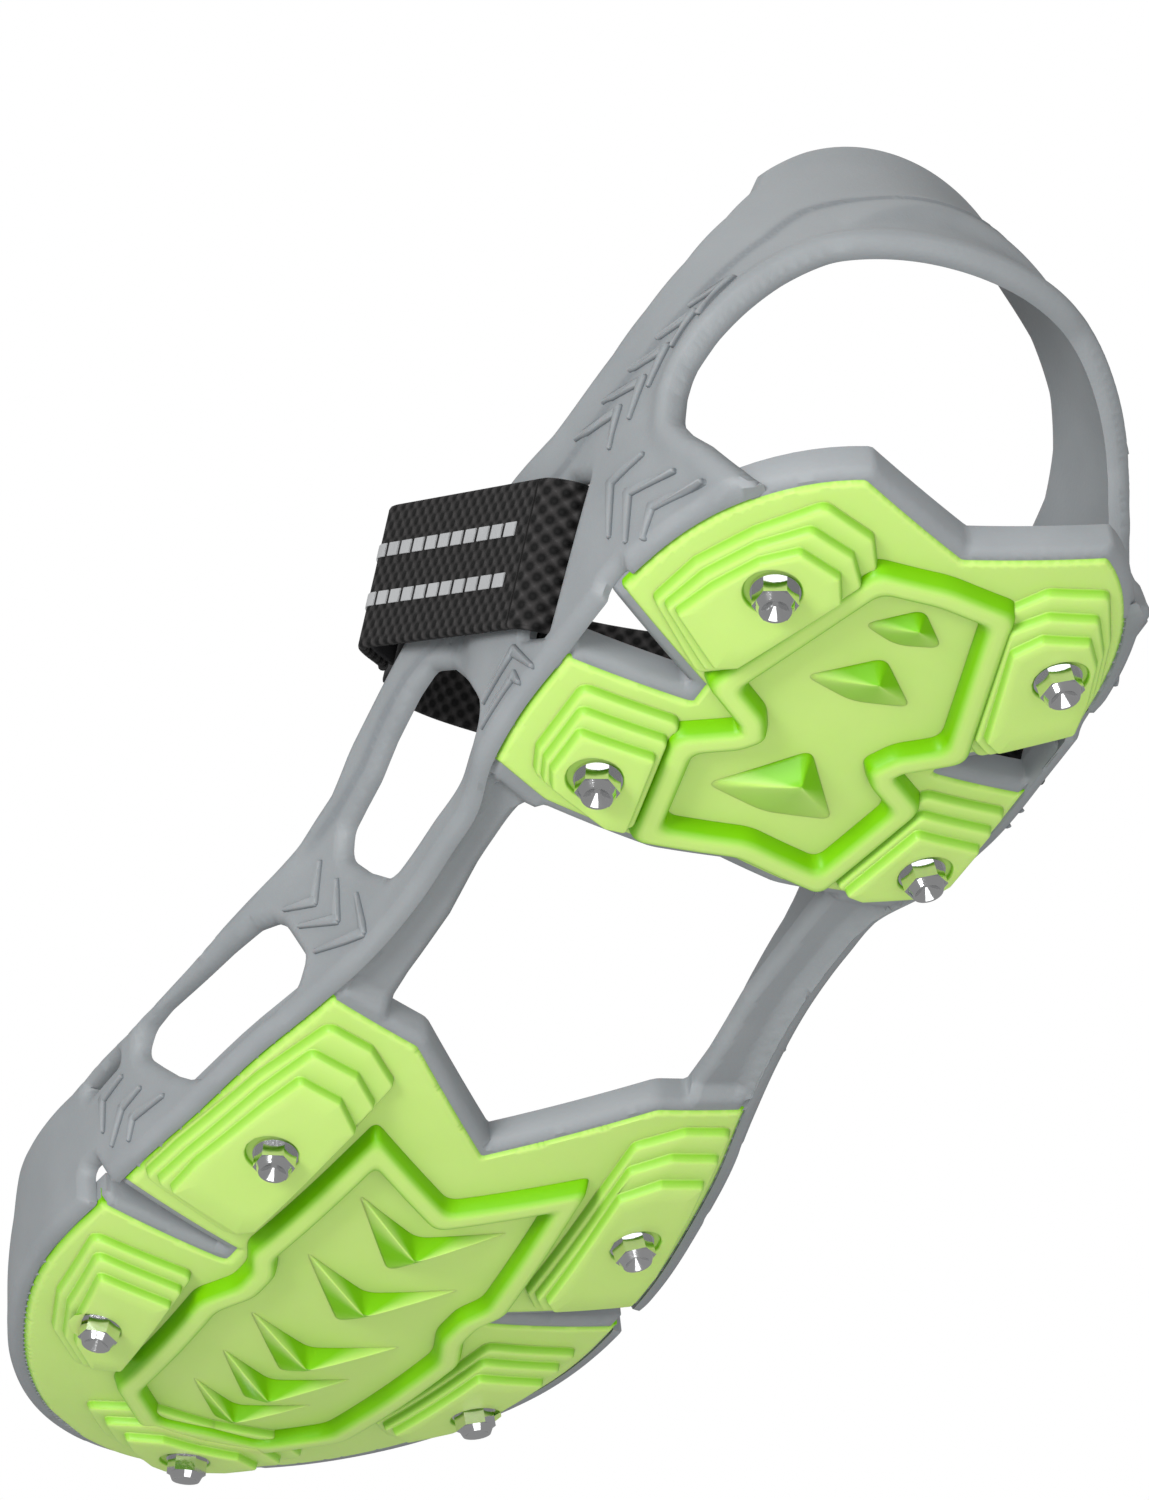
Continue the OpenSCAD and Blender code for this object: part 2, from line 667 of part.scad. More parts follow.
// A band of webbing, one face on a flat line and the other to its left
module webbing(line, t, width) {
    left = beside(line, t);
    n = len(line);
    linear_extrude(width, center = true) polygon(concat(line, [for (i = [n - 1:-1:0]) left[i]]));
}

// The flap's inner face from one distance to another
function flap_run(from, to) = let (n = max(2, ceil((to - from) / 2)))
    [for (i = [0:n]) let (d = mix(from, to, i / n)) [d, flap_face(d)]];

// The inside of the arch by angle, 0 at the near slot and 180 at the far one
function arch_run(from, to) = let (n = max(2, ceil((to - from) / 4)))
    [for (i = [0:n]) let (t = mix(from, to, i / n), d = mix(4, strap_reach, sin(t)))
        [d, (t <= 90 ? 1 : -1) * arch(d)]];

// The fold through a slot, from the band inside the rail to the outer layer over it
function fold_line(side) = let (mid = (inner_y + outer_y) / 2)
    concat([[4, side * inner_y]], [for (t = [0:15:180])
        [1 - fold_radius * sin(t), side * (mid - fold_radius * cos(t))]]);

module strap_band() {
    color(black) strap_frame() webbing(arch_run(0, 180), strap_thickness, strap_width);
}

module strap_fold() {
    color(black) strap_frame() webbing(fold_line(1), -strap_thickness, strap_width);
}

module far_loop() {
    tail = [for (i = [0:40]) let (d = mix(8, loop_end, i / 40)) [d, -loop_face(d)]];
    color(black) strap_frame() webbing(concat(fold_line(-1), tail), strap_thickness, strap_width);
}

// Bar tacks that sew the far loop to the band
module far_stitching() {
    color(thread) strap_frame() for (i = [0:3]) {
        d = mix(loop_flat, loop_end, 0.12 + 0.22 * i);
        line = [for (e = [d, d + 0.6, d + 1.2]) [e, -loop_face(e) - sewn_gap]];
        webbing(line, -dash_height, strap_width - 4);
    }
}

module loop_patch() {
    run = [for (i = [0:9]) let (d = flap_length + patch_half * (2 * i / 9 - 1)) [d, arch(d)]];
    line = beside(run, strap_thickness + sewn_gap);
    color(black) strap_frame() webbing(line, patch_thickness, strap_width - 2);
}

// The loose end, with a round root on its hinge line
module strap_flap() {
    color(black) strap_frame() {
        webbing(flap_run(hinge_d, flap_length), strap_thickness, strap_width);
        translate([hinge_d, hinge_y]) cylinder(h = strap_width, d = strap_thickness, center = true);
    }
}

module hook_patch() {
    line = beside(flap_run(flap_length - patch_half - 2, flap_length - 2), -sewn_gap);
    color(black) strap_frame() webbing(line, -patch_thickness, strap_width - 2);
}

// A short woven piece on the flap's outer face
module on_flap(from, to, width) {
    webbing(beside(flap_run(from, to), strap_thickness + sewn_gap), dash_height, width);
}

// Two rows of reflective dashes
module flap_stripes() {
    last = flap_length - label_length - dash_length - 2;
    color(silver) strap_frame() for (n = [-1, 1]) for (d = [6:dash_pitch:last]) {
        translate([0, 0, n * strap_width * 0.17]) on_flap(d, d + dash_length, dash_width);
    }
}

// Plain sewn label at the loose end
module flap_label() {
    color(pale_blue) strap_frame()
        on_flap(flap_length - label_length, flap_length - 1.5, strap_width - 3);
}

// Dashes of the band over the instep, between the loop patch and the far loop
module band_stripes() {
    first = asin((flap_length + patch_half - 2) / (strap_reach - 4));
    last = 180 - asin((loop_end - 2) / (strap_reach - 4)) - 4.5;
    color(silver) strap_frame() for (n = [-1, 1]) for (t = [first:6.5:last]) {
        translate([0, 0, n * strap_width * 0.17])
            webbing(beside(arch_run(t, t + 4.5), strap_thickness + sewn_gap), dash_height, dash_width);
    }
}

forefoot_outsole();
heel_outsole();
forefoot_tray();
heel_tray();
near_arch_web();
far_arch_web();
near_side_net();
far_side_net();
heel_band();
toe_band();
stud_heel_rear_near();
stud_heel_rear_far();
stud_heel_front_near();
stud_heel_front_far();
stud_fore_rear_near();
stud_fore_rear_far();
stud_fore_front_near();
stud_fore_front_far();
stud_toe();
strap_band();
strap_fold();
far_loop();
far_stitching();
loop_patch();
strap_flap();
hook_patch();
flap_stripes();
flap_label();
band_stripes();
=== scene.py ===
"""Ice cleat overshoe: a stretch harness, two translucent studded outsoles and a webbing instep strap.
Surfaces are worked out in millimetres in the part's own frame and stored in metres.
Places along the sole are counted from the heel notch, 142.25 mm behind the origin."""

import bpy
import numpy as np
from mathutils import Matrix, Vector


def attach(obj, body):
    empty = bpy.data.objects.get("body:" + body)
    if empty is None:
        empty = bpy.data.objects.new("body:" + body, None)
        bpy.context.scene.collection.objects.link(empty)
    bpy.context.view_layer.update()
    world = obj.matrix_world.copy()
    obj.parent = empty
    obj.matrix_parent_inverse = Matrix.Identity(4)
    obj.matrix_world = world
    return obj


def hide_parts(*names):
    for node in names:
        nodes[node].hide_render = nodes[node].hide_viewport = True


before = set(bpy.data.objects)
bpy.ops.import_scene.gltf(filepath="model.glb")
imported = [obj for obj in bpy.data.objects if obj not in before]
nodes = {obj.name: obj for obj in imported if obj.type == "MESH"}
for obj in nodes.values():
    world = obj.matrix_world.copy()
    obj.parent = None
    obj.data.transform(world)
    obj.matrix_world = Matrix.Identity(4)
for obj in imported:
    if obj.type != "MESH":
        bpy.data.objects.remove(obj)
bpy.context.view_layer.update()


# Heel outsole.
# Translucent lime elastomer, moulded in one with its terraced lugs, a rib round its tread floor and arrow wedges.
# It is bonded under the heel tray and follows the worn sole line, with its toe spring and its curve across.

MIDDLE = 142.25                                             # from the heel notch to the origin, along the sole
HEEL_END, TOE_END = -156.25, 156.75                         # ends of the sole line
LENGTH = TOE_END - HEEL_END
TREAD, PLATE_TOP, TRAY_TOP, RIM = 9.6, 13.0, 15.4, 10.2     # heights at the studs: floor, outsole, tray and rim
HEEL, WAIST, BALL = 42.5, 36.0, 52.0                        # half widths of the sole line
SOLE = [
    (0, 0), (0.004, 0.27 * HEEL), (0.018, 0.53 * HEEL), (0.045, 0.745 * HEEL), (0.08, 0.89 * HEEL),
    (0.127, 0.977 * HEEL), (0.19, HEEL), (0.25, HEEL), (0.285, 40.55), (0.315, 36.65), (0.35, WAIST), (0.39, WAIST),
    (0.445, 37.8), (0.495, 41.0), (0.546, 44.8), (0.604, 47.8), (0.66, 50.4), (0.71, 0.99 * BALL), (0.75, BALL),
    (0.79, 0.98 * BALL), (0.825, 0.93 * BALL), (0.86, 0.85 * BALL), (0.895, 0.75 * BALL), (0.925, 0.64 * BALL),
    (0.955, 0.5 * BALL), (0.978, 0.35 * BALL), (0.993, 0.19 * BALL), (1, 0),
]
LEAN = [(0, 0), (0.03, 0.8), (0.135, 1.5), (0.25, 1.7), (0.285, 2.4), (0.31, 3.6), (0.345, 3.6), (0.39, 2.8),
        (0.445, 1.6), (0.495, 0.8), (0.55, 0), (1, 0)]
SOLE_BY_ANGLE = [(np.arccos(1 - 2 * u), half) for u, half in SOLE]


def curve(x, knots):
    """A cubic Hermite curve through knots, with slopes taken between their neighbours."""
    kx, ky = np.array(knots, float).T
    slope = np.gradient(ky, kx)
    i = np.clip(np.searchsorted(kx, x) - 1, 0, len(kx) - 2)
    w = kx[i + 1] - kx[i]
    t = np.clip((x - kx[i]) / w, 0, 1)
    rise = ky[i] * (1 + 2 * t) + w * slope[i] * t
    fall = ky[i + 1] * (3 - 2 * t) + w * slope[i + 1] * (t - 1)
    return rise * (1 - t) ** 2 + fall * t * t


def smooth(t):
    """A smooth step from 0 to 1."""
    t = np.clip(t, 0, 1)
    return t * t * (3 - 2 * t)


def spring(x):
    """Rise toward the toe: a parabola from the ball to 26 mm at the tip."""
    return 26 * np.square(np.maximum(0, x - 29.75) / 127)


def lift(x, y):
    """Toe spring plus a 200 mm radius across the sole, zero where the studs stand."""
    stud = np.interp(x, [-127.75, -78.25, 29.35, 94.75], [26.3, 30.8, 35.5, 38.3])
    return spring(x) + (y * y - stud * stud) / 400


def ends(h):
    """Heel and toe of the worn form at a height over the tray: curves that lean in toward the top."""
    heel = curve(h, [(0, 0), (15, -2), (30, -3), (45, 0), (60, 6), (72, 12), (84, 17), (110, 24)])
    toe = curve(h, [(0, 0), (12, -2), (25, -12), (36, -28), (46, -50), (56, -80), (68, -110), (85, -140),
                    (110, -165)])
    return heel + HEEL_END, toe + TOE_END


def form(angle, h, off):
    """The worn form's side at an angle round the sole (0 heel, pi toe), a height over the tray, and off outward:
    the sole's half width, swelled at the waist, drawn in toward the top and round the heel."""
    b = np.pi - np.abs(np.pi - angle)
    u = (1 - np.cos(b)) / 2
    side = np.where(angle <= np.pi, 1, -1)
    heel, toe = ends(h)
    x = heel + (toe - heel) * u
    fade = np.clip(h / 30, 0, 1)
    half = curve(b, SOLE_BY_ANGLE) + side * curve(u, LEAN) * (1 - fade)
    half += 7 * np.exp(-np.square((u - 0.38) / 0.11)) * fade
    half *= curve(h, [(0, 1), (25, 1), (40, 0.985), (55, 0.92), (70, 0.83), (85, 0.75), (110, 0.7)])
    half *= 1 - 0.28 * np.exp(-u / 0.12) * np.clip((h - 25) / 45, 0, 1)
    c = -np.cos(b) ** 3
    return np.stack([x + off * c, side * (half + off * np.sqrt(1 - c * c)), TRAY_TOP + spring(x) + h], -1)


def edge(p, corners, grow):
    """Signed distance from points to a polygon grown by a radius, and the way it grows."""
    best = np.full(len(p), 1e12)
    near = np.zeros_like(p)
    inside = np.zeros(len(p), bool)
    corners = np.array(corners, float)
    for a, b in zip(corners, np.roll(corners, -1, 0)):
        ab = b - a
        q = a + np.clip((p - a) @ ab / (ab @ ab), 0, 1)[:, None] * ab
        d = np.square(p - q).sum(1)
        closer = d < best
        best[closer] = d[closer]
        near[closer] = q[closer]
        if a[1] != b[1]:
            crossed = (a[1] > p[:, 1]) != (b[1] > p[:, 1])
            inside ^= crossed & (p[:, 0] < a[0] + (p[:, 1] - a[1]) * ab[0] / ab[1])
    d = np.sqrt(best) * np.where(inside, -1, 1)
    return d - grow, (p - near) / np.where(np.abs(d) < 1e-9, 1e-9, d)[:, None]


def plan(p, shapes):
    """Distance and its way for a union of rounded polygons, mirrored across the centre line."""
    q = np.stack([p[:, 0] + MIDDLE, np.abs(p[:, 1])], 1)
    best = np.full(len(p), 1e12)
    way = np.zeros_like(p)
    for corners, grow in shapes:
        d, g = edge(q, corners, grow)
        closer = d < best
        best[closer] = d[closer]
        way[closer] = g[closer]
    way[:, 1] *= np.where(p[:, 1] < 0, -1, 1)
    return best, way


def both(a, b):
    """Distance and its way for what two shapes share."""
    first = a[0] > b[0]
    return np.where(first, a[0], b[0]), np.where(first[:, None], a[1], b[1])


def sole(p):
    """Distance and its way for the sole line."""
    angle = np.linspace(0, 2 * np.pi, 181)[:-1]
    return edge(p, form(angle, np.zeros(180), 0)[:, :2], 0)


def slide(p, step, lines):
    """Points moved onto the nearest contour line within half a step; a line is distances, their ways and a level."""
    reach = np.full(len(p), 0.55 * step)
    moved = p.copy()
    for d, way, level in lines:
        off = d - level
        close = np.abs(off) < reach
        moved[close] = p[close] - (off[close, None] * way[close])
        reach[close] = np.abs(off[close])
    return moved, reach < 0.55 * step


def triangles(shape, outside, marked, wrap=False):
    """Triangles of a grid's cells that lie inside a region, cut along marked points."""
    i = np.arange(shape[0] * shape[1]).reshape(shape)
    if wrap:
        i = np.vstack([i, i[:1]])
    a, b, c, d = (k.ravel() for k in (i[:-1, :-1], i[1:, :-1], i[1:, 1:], i[:-1, 1:]))
    score = marked[a].astype(int) + marked[c] - marked[b] - marked[d]
    score[marked[a].astype(int) + marked[b] + marked[c] + marked[d] == 3] *= -1
    score += 8 * (outside[b].astype(int) + outside[d]) - 8 * (outside[a].astype(int) + outside[c])
    ac = score >= 0
    first = np.where(ac[:, None], np.stack([a, b, c], 1), np.stack([a, b, d], 1))
    second = np.where(ac[:, None], np.stack([a, c, d], 1), np.stack([b, c, d], 1))
    t = np.concatenate([first, second])
    return t[~outside[t].any(1)]


def closed(low, high, t):
    """A closed skin between two surfaces that share their triangles, with walls on the free edges."""
    used = np.unique(t)
    index = np.full(len(low), -1)
    index[used] = np.arange(len(used))
    t = index[t]
    n = len(used)
    e = np.concatenate([t[:, [0, 1]], t[:, [1, 2]], t[:, [2, 0]]])
    free = ~np.isin(e[:, 0] * n + e[:, 1], e[:, 1] * n + e[:, 0])
    i, j = e[free].T
    wall = np.concatenate([np.stack([i, j, j + n], 1), np.stack([i, j + n, i + n], 1)])
    return np.concatenate([low[used], high[used]]), np.concatenate([t[:, ::-1], t + n, wall]), used


def weld(points, faces, marks):
    """Points that share an edge shorter than 0.05 mm become one, and the triangles between them go."""
    label = np.arange(len(points))
    e = np.concatenate([faces[:, [0, 1]], faces[:, [1, 2]], faces[:, [2, 0]]])
    e = e[np.linalg.norm(points[e[:, 0]] - points[e[:, 1]], axis=1) < 0.05]
    for _ in range(4):
        low = label[e].min(1)
        np.minimum.at(label, e[:, 0], low)
        np.minimum.at(label, e[:, 1], low)
    faces = label[faces]
    faces = faces[(faces != np.roll(faces, 1, 1)).all(1)]
    used = np.unique(faces)
    return points[used], np.searchsorted(used, faces), {key: values[used] for key, values in marks.items()}


def piece(name, points, faces, material, body, slot, stands_for=(), sharp=50, **marks):
    """One mesh of the object from points in millimetres and triangles, attached to its body; the parts it stands for
    are hidden.
    """
    if marks:
        points, faces, marks = weld(points, faces, marks)
    mesh = bpy.data.meshes.new(name)
    mesh.vertices.add(len(points))
    mesh.vertices.foreach_set("co", (np.asarray(points) / 1000).astype(np.float32).ravel())
    mesh.loops.add(faces.size)
    mesh.loops.foreach_set("vertex_index", faces.astype(np.int32).ravel())
    mesh.polygons.add(len(faces))
    mesh.polygons.foreach_set("loop_start", np.arange(0, faces.size, 3, dtype=np.int32))
    mesh.update(calc_edges=True)
    mesh.validate()
    mesh.polygons.foreach_set("use_smooth", np.ones(len(mesh.polygons), bool))
    mesh.set_sharp_from_angle(angle=np.radians(sharp))
    for key, values in marks.items():
        mesh.attributes.new(key, "FLOAT", "POINT").data.foreach_set("value", values.astype(np.float32))
    mesh.materials.append(material)
    made = bpy.data.objects.new(name, mesh)
    bpy.context.scene.collection.objects.link(made)
    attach(made, body)
    if stands_for:
        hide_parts(*stands_for)
    return made


def shader(name, color, rough, **sockets):
    """A material with one Principled shader, and its node tree."""
    material = bpy.data.materials.new(name)
    material.use_nodes = True
    tree = material.node_tree
    skin = tree.nodes["Principled BSDF"]
    skin.inputs["Base Color"].default_value = (*color, 1)
    skin.inputs["Roughness"].default_value = rough
    for key, value in sockets.items():
        skin.inputs[key.replace("_", " ")].default_value = value
    return material, tree, skin


def grain_group():
    """Fine moulded grain: a colour factor and a normal from two noises over the object's own coordinates."""
    group = bpy.data.node_groups.new("moulded_grain", "ShaderNodeTree")
    for key, way, kind in (("Scale", "INPUT", "Float"), ("Depth", "INPUT", "Float"),
                           ("Mottle", "OUTPUT", "Float"), ("Normal", "OUTPUT", "Vector")):
        group.interface.new_socket(key, in_out=way, socket_type="NodeSocket" + kind)
    make, link = group.nodes.new, group.links.new
    given, result = make("NodeGroupInput"), make("NodeGroupOutput")
    place, fine, broad, bump = (make("ShaderNode" + k) for k in ("TexCoord", "TexNoise", "TexNoise", "Bump"))
    fine.inputs["Detail"].default_value = 3
    broad.inputs["Scale"].default_value = 70
    broad.inputs["Detail"].default_value = 4
    bump.inputs["Distance"].default_value = 0.0002
    link(place.outputs["Object"], fine.inputs["Vector"])
    link(place.outputs["Object"], broad.inputs["Vector"])
    link(given.outputs["Scale"], fine.inputs["Scale"])
    link(given.outputs["Depth"], bump.inputs["Strength"])
    link(fine.outputs["Fac"], bump.inputs["Height"])
    link(broad.outputs["Fac"], result.inputs["Mottle"])
    link(bump.outputs["Normal"], result.inputs["Normal"])
    return group


def use_group(tree, group, **values):
    """A group node in a material's tree, its inputs set."""
    node = tree.nodes.new("ShaderNodeGroup")
    node.node_tree = group
    for key, value in values.items():
        node.inputs[key].default_value = value
    return node


def blend_colors(tree, low, high, factor):
    """A colour that goes from low to high with a factor socket."""
    mix = tree.nodes.new("ShaderNodeMix")
    mix.data_type = "RGBA"
    mix.inputs["A"].default_value = (*low, 1)
    mix.inputs["B"].default_value = (*high, 1)
    tree.links.new(factor, mix.inputs["Factor"])
    return mix


def mark(tree, name):
    """The value of a mesh mark in a material."""
    node = tree.nodes.new("ShaderNodeAttribute")
    node.attribute_name = name
    return node.outputs["Fac"]


def vary(tree, skin, factor, colors, rough):
    """A base colour and a roughness that go from low to high with a factor socket."""
    tone = blend_colors(tree, *colors, factor)
    span = tree.nodes.new("ShaderNodeMapRange")
    span.inputs["To Min"].default_value, span.inputs["To Max"].default_value = rough
    tree.links.new(factor, span.inputs["Value"])
    tree.links.new(span.outputs["Result"], skin.inputs["Roughness"])
    tree.links.new(tone.outputs["Result"], skin.inputs["Base Color"])
    return tone


GRAIN = grain_group()
LIME, tree, skin = shader("lime_outsole", (0.5, 0.76, 0.19), 0.4, Subsurface_Weight=0.35, Subsurface_Scale=0.0012,
                          Specular_IOR_Level=0.3)
skin.inputs["Subsurface Radius"].default_value = (0.6, 1.0, 0.2)
lime_grain = use_group(tree, GRAIN, Scale=900, Depth=0.12)
lime_tone = vary(tree, skin, lime_grain.outputs["Mottle"], ((0.52, 0.76, 0.18), (0.58, 0.8, 0.22)), (0.32, 0.48))
# Painted shade: where the mark is high, on the terrace walls, the rib's sides, the wedge faces and the eased edge,
# the lime turns deep green in place of shade in the translucent elastomer.
lime_shade_mix = blend_colors(tree, (1, 1, 1), (0.19, 0.545, 0.0), mark(tree, "steep"))
tree.links.new(lime_tone.outputs["Result"], lime_shade_mix.inputs["A"])
tree.links.new(lime_shade_mix.outputs["Result"], skin.inputs["Base Color"])
tree.links.new(lime_grain.outputs["Normal"], skin.inputs["Normal"])


TIER = 1.8          # height of one terrace of a lug
FACE = 3 * TIER     # from the tread floor to a lug's face
SEAT = 4.9          # radius of a stud's sunk seat


def outward(corners):
    """A polygon turned anticlockwise, with the outward normals of the sides after and before each corner."""
    c = np.array(corners, float)
    after = np.roll(c, -1, 0)
    if (c[:, 0] * after[:, 1] - c[:, 1] * after[:, 0]).sum() < 0:
        c = c[::-1]
    ahead = np.roll(c, -1, 0) - c
    out = np.column_stack([ahead[:, 1], -ahead[:, 0]]) / np.linalg.norm(ahead, axis=1)[:, None]
    return c, out, np.roll(out, 1, 0)


def ring(corners, grow, turns=4, splits=6):
    """A closed line round a convex polygon grown by a radius: arcs at its corners, split straights between."""
    c, out, before = outward(corners)
    bend = np.arctan2(before[:, 0] * out[:, 1] - before[:, 1] * out[:, 0], (before * out).sum(1))
    start = np.arctan2(before[:, 1], before[:, 0])
    a = start[:, None] + bend[:, None] * np.linspace(0, 1, turns)
    arcs = c[:, None] + grow * np.stack([np.cos(a), np.sin(a)], -1)
    k = np.linspace(0, 1, splits + 1)[1:-1, None]
    lines = arcs[:, -1:] + k[None] * (np.roll(arcs[:, :1], -1, 0) - arcs[:, -1:])
    return np.concatenate([arcs, lines], 1).reshape(-1, 2)


def skin_rings(rings, around=False):
    """Triangles over a stack of rings with the same number of points, ends closed by fans, or joined around."""
    k, m = len(rings), len(rings[0])
    i, j = np.meshgrid(np.arange(k if around else k - 1), np.arange(m), indexing="ij")
    a, b = (i * m + j).ravel(), (i * m + (j + 1) % m).ravel()
    c, d = ((i + 1) % k * m + (j + 1) % m).ravel(), ((i + 1) % k * m + j).ravel()
    faces = [np.stack([a, b, c], 1), np.stack([a, c, d], 1)]
    if not around:
        fan = np.arange(1, m - 1)
        zero = np.zeros(m - 2, int)
        faces += [np.stack([zero, fan + 1, fan], 1), (k - 1) * m + np.stack([zero, fan, fan + 1], 1)]
    return np.concatenate(faces)


def tread(flat, depth, steep, turned=False, mirrored=False, around=False):
    """Rings of the tread, in millimetres below its floor, laid on the sole: points, triangles and painted shade."""
    p = np.concatenate(flat) - (MIDDLE, 0)
    if mirrored:
        p = p * (1, -1)
    z = TREAD - np.repeat(depth, len(flat[0])) + lift(*p.T)
    t = skin_rings(flat, around)
    return np.column_stack([p, z]), t if turned != mirrored else t[:, ::-1], np.repeat(steep, len(flat[0]))


def lug(tiers, stud, mirrored):
    """A lug: its terraces as rings from under the tread floor to its face, then in to the stud's sunk seat."""
    flat, depth, steep = [ring(*tiers[0])], [-1.5], [1.0]
    for k, (corners, grow) in enumerate(tiers):
        # The first of each ring's numbers is painted shade: deep green on a terrace's wall, fading out on its flat.
        for q, in_by, up in ((0.15, 0, 0), (0.8, 0.1, 0.35), (0.65, 0.22, 0.9), (0.5, 0.38, 1.45),
                             (0.2, 0.6, 1.7), (0, 0.85, TIER)):
            flat.append(ring(corners, grow - in_by))
            depth.append(TIER * k + up)
            steep.append(q)
    away = flat[-1] - stud
    away /= np.linalg.norm(away, axis=1)[:, None]
    rim = stud + SEAT * away
    for q in (0.35, 0.7, 1.0):
        flat.append(flat[-1] + (rim - flat[-1]) * q)
        depth.append(FACE)
        steep.append(0)
    # The seat's rings carry painted shade too, deepest on its wall.
    for radius, down, q in ((4.75, 0.05, 0.4), (4.55, 0.4, 1), (4.4, 0.75, 0.6), (4.2, 0.8, 0.3), (0.5, 0.8, 0.3)):
        flat.append(stud + radius * away)
        depth.append(FACE - down)
        steep.append(q)
    return tread(flat, depth, steep, mirrored=mirrored)


def offset(corners, by):
    """A closed polygon moved outward with mitred corners, each then rounded by a quadratic arc."""
    c, out, before = outward(corners)
    c = c + by * (before + out) / (1 + (before * out).sum(1))[:, None]
    length = np.linalg.norm(np.roll(c, -1, 0) - c, axis=1)
    cut = np.minimum(2.2, 0.3 * np.minimum(length, np.roll(length, 1)))[:, None]
    ahead = (np.roll(c, -1, 0) - c) / length[:, None]
    cuts = np.stack([c - cut * np.roll(ahead, 1, 0), c + cut * ahead], 1)
    k = np.linspace(0, 1, 7)[:, None]
    arcs = cuts[:, None, 0] * (1 - k) ** 2 + 2 * c[:, None] * k * (1 - k) + cuts[:, None, 1] * k ** 2
    k = np.linspace(0, 1, 8)[1:-1, None]
    lines = arcs[:, -1:] + k[None] * (np.roll(arcs[:, :1], -1, 0) - arcs[:, -1:])
    return np.concatenate([arcs, lines], 1).reshape(-1, 2)


def rib(floor):
    """A rounded rib swept round the tread floor: distance outward, depth and painted shade of its section."""
    section = [
        (0.2, -1.0, 1), (0.2, 0, 1), (0.42, 1.1, 1), (0.75, 2.35, 1), (1.2, 3.05, 0.7), (1.8, 3.35, 0.2),
        (2.4, 3.4, 0), (3.6, 3.4, 0), (4.2, 3.35, 0.2), (4.7, 3.05, 0.7), (5.1, 2.35, 1), (5.4, 1.1, 1),
        (5.6, 0, 1), (5.6, -1.0, 1),
    ]
    by, depth, steep = np.array(section).T
    return tread([offset(floor, f) for f in by], depth, steep, turned=True, around=True)


def wedge(base, crest, height):
    """A low pyramid: rings that shrink from its base to its crest, with a little of its edges rounded."""
    flat = offset(base, 0.15)
    crest = np.array(crest, float)
    share = np.array([1.0, 1.0, 0.9, 0.6, 0.3, 0.12, 0.04])
    up = np.array([-1.0, 0, 0.11, 0.41, 0.71, 0.885, 0.93]) * height
    p, t, _ = tread([crest + k * (flat - crest) for k in share], up, share)
    slope = height / np.maximum(np.linalg.norm(flat - crest, axis=1), 0.3)
    # Painted shade on the wedge's faces, deeper where they slope more.
    return p, t, np.tile(smooth((slope - 0.18) / 0.5), len(share))


def plate(box, step, outline, ease=0.9):
    """The outsole under its tread: a grid over a box, cut to its outline, with an eased outer edge and painted
    shade there."""
    x, y = np.arange(box[0], box[1], step) - MIDDLE, np.arange(-box[2], box[2] + step / 2, step)
    grid = np.stack(np.meshgrid(x, y, indexing="ij"), -1)
    p = grid.reshape(-1, 2)

    def limits(q):
        d, way = sole(q)
        return both(plan(q, outline), (d + 0.15, way))

    p, marked = slide(p, step, [(*limits(p), -ease)])
    p, rim = slide(p, step, [(*limits(p), 0)])
    out = np.where(rim, 0, limits(p)[0])
    t = triangles(grid.shape[:2], out > 1e-6, marked | rim)
    t = t[limits(p[t].mean(1))[0] < -0.03]
    rise = lift(*p.T)
    up = TREAD + ease * np.clip(1 + out / ease, 0, 1)
    points, faces, used = closed(np.column_stack([p, up + rise]), np.column_stack([p, PLATE_TOP + rise]), t)
    # Painted shade on the eased outer edge; the hidden top takes it in full.
    steep = smooth(1 + out[used] / 0.7)
    return points, faces, np.concatenate([steep, np.ones(len(used))])


def whole(half):
    """A closed outline from its near half, which starts and ends on the centre line."""
    return list(half) + [(x, -y) for x, y in half[-2:0:-1]]


def join(parts):
    """Points, triangles and the first mark of several shells as one."""
    start = np.cumsum([0] + [len(q[0]) for q in parts])
    return (np.concatenate([q[0] for q in parts]), np.concatenate([q[1] + b for q, b in zip(parts, start)]),
            np.concatenate([q[2] for q in parts]))


HEEL_OUTLINE = [
    ([(9.7, -20), (-7, 23.5), (0.5, 32.5), (9, 38.5), (18, 42), (27.5, 43.5), (29.5, 41), (40, 22), (43.8, -20)], 2),
    ([(36.8, -20), (48, 23), (49.5, 43.5), (71.5, 43.5), (75.5, 32), (76, 12), (69.3, -20)], 2),
    ([(35, -20), (37, 20.5), (47, 20.5), (53, -20)], 2),
]
HEEL_LUGS = [
    ([([(0, 25), (2, 17), (7, 13.5), (34, 22.5), (36.5, 26), (28, 37), (19, 35.5), (9, 31)], 2),
      ([(3.5, 25.5), (5, 18.5), (9, 15), (32.5, 23), (34.5, 26), (27, 36.2), (19, 34.5), (10, 30.5)], 1.6),
      ([(6.5, 26), (8, 19), (12, 16.5), (31, 23.5), (32.5, 26), (26, 35.5), (19, 33.5), (11, 30)], 1.2)],
     (14.5, 26.3)),
    ([([(51.5, 24), (71.5, 20), (73.5, 24), (70, 36), (66, 37.7), (52.5, 37.7)], 2),
      ([(54, 24.5), (72, 20.5), (73, 24), (69.5, 35.5), (66, 37), (55, 37)], 1.6),
      ([(56.5, 25), (72, 21.5), (72.5, 24), (69, 34.8), (66, 36.4), (57.5, 36.4)], 1.2)],
     (64, 30.8)),
]
HEEL_FLOOR = whole([(9, 0), (10, 9), (37, 18), (41, 11.5), (46, 8.5), (50, 11.5), (54, 17.5), (70, 14), (67, 0)])
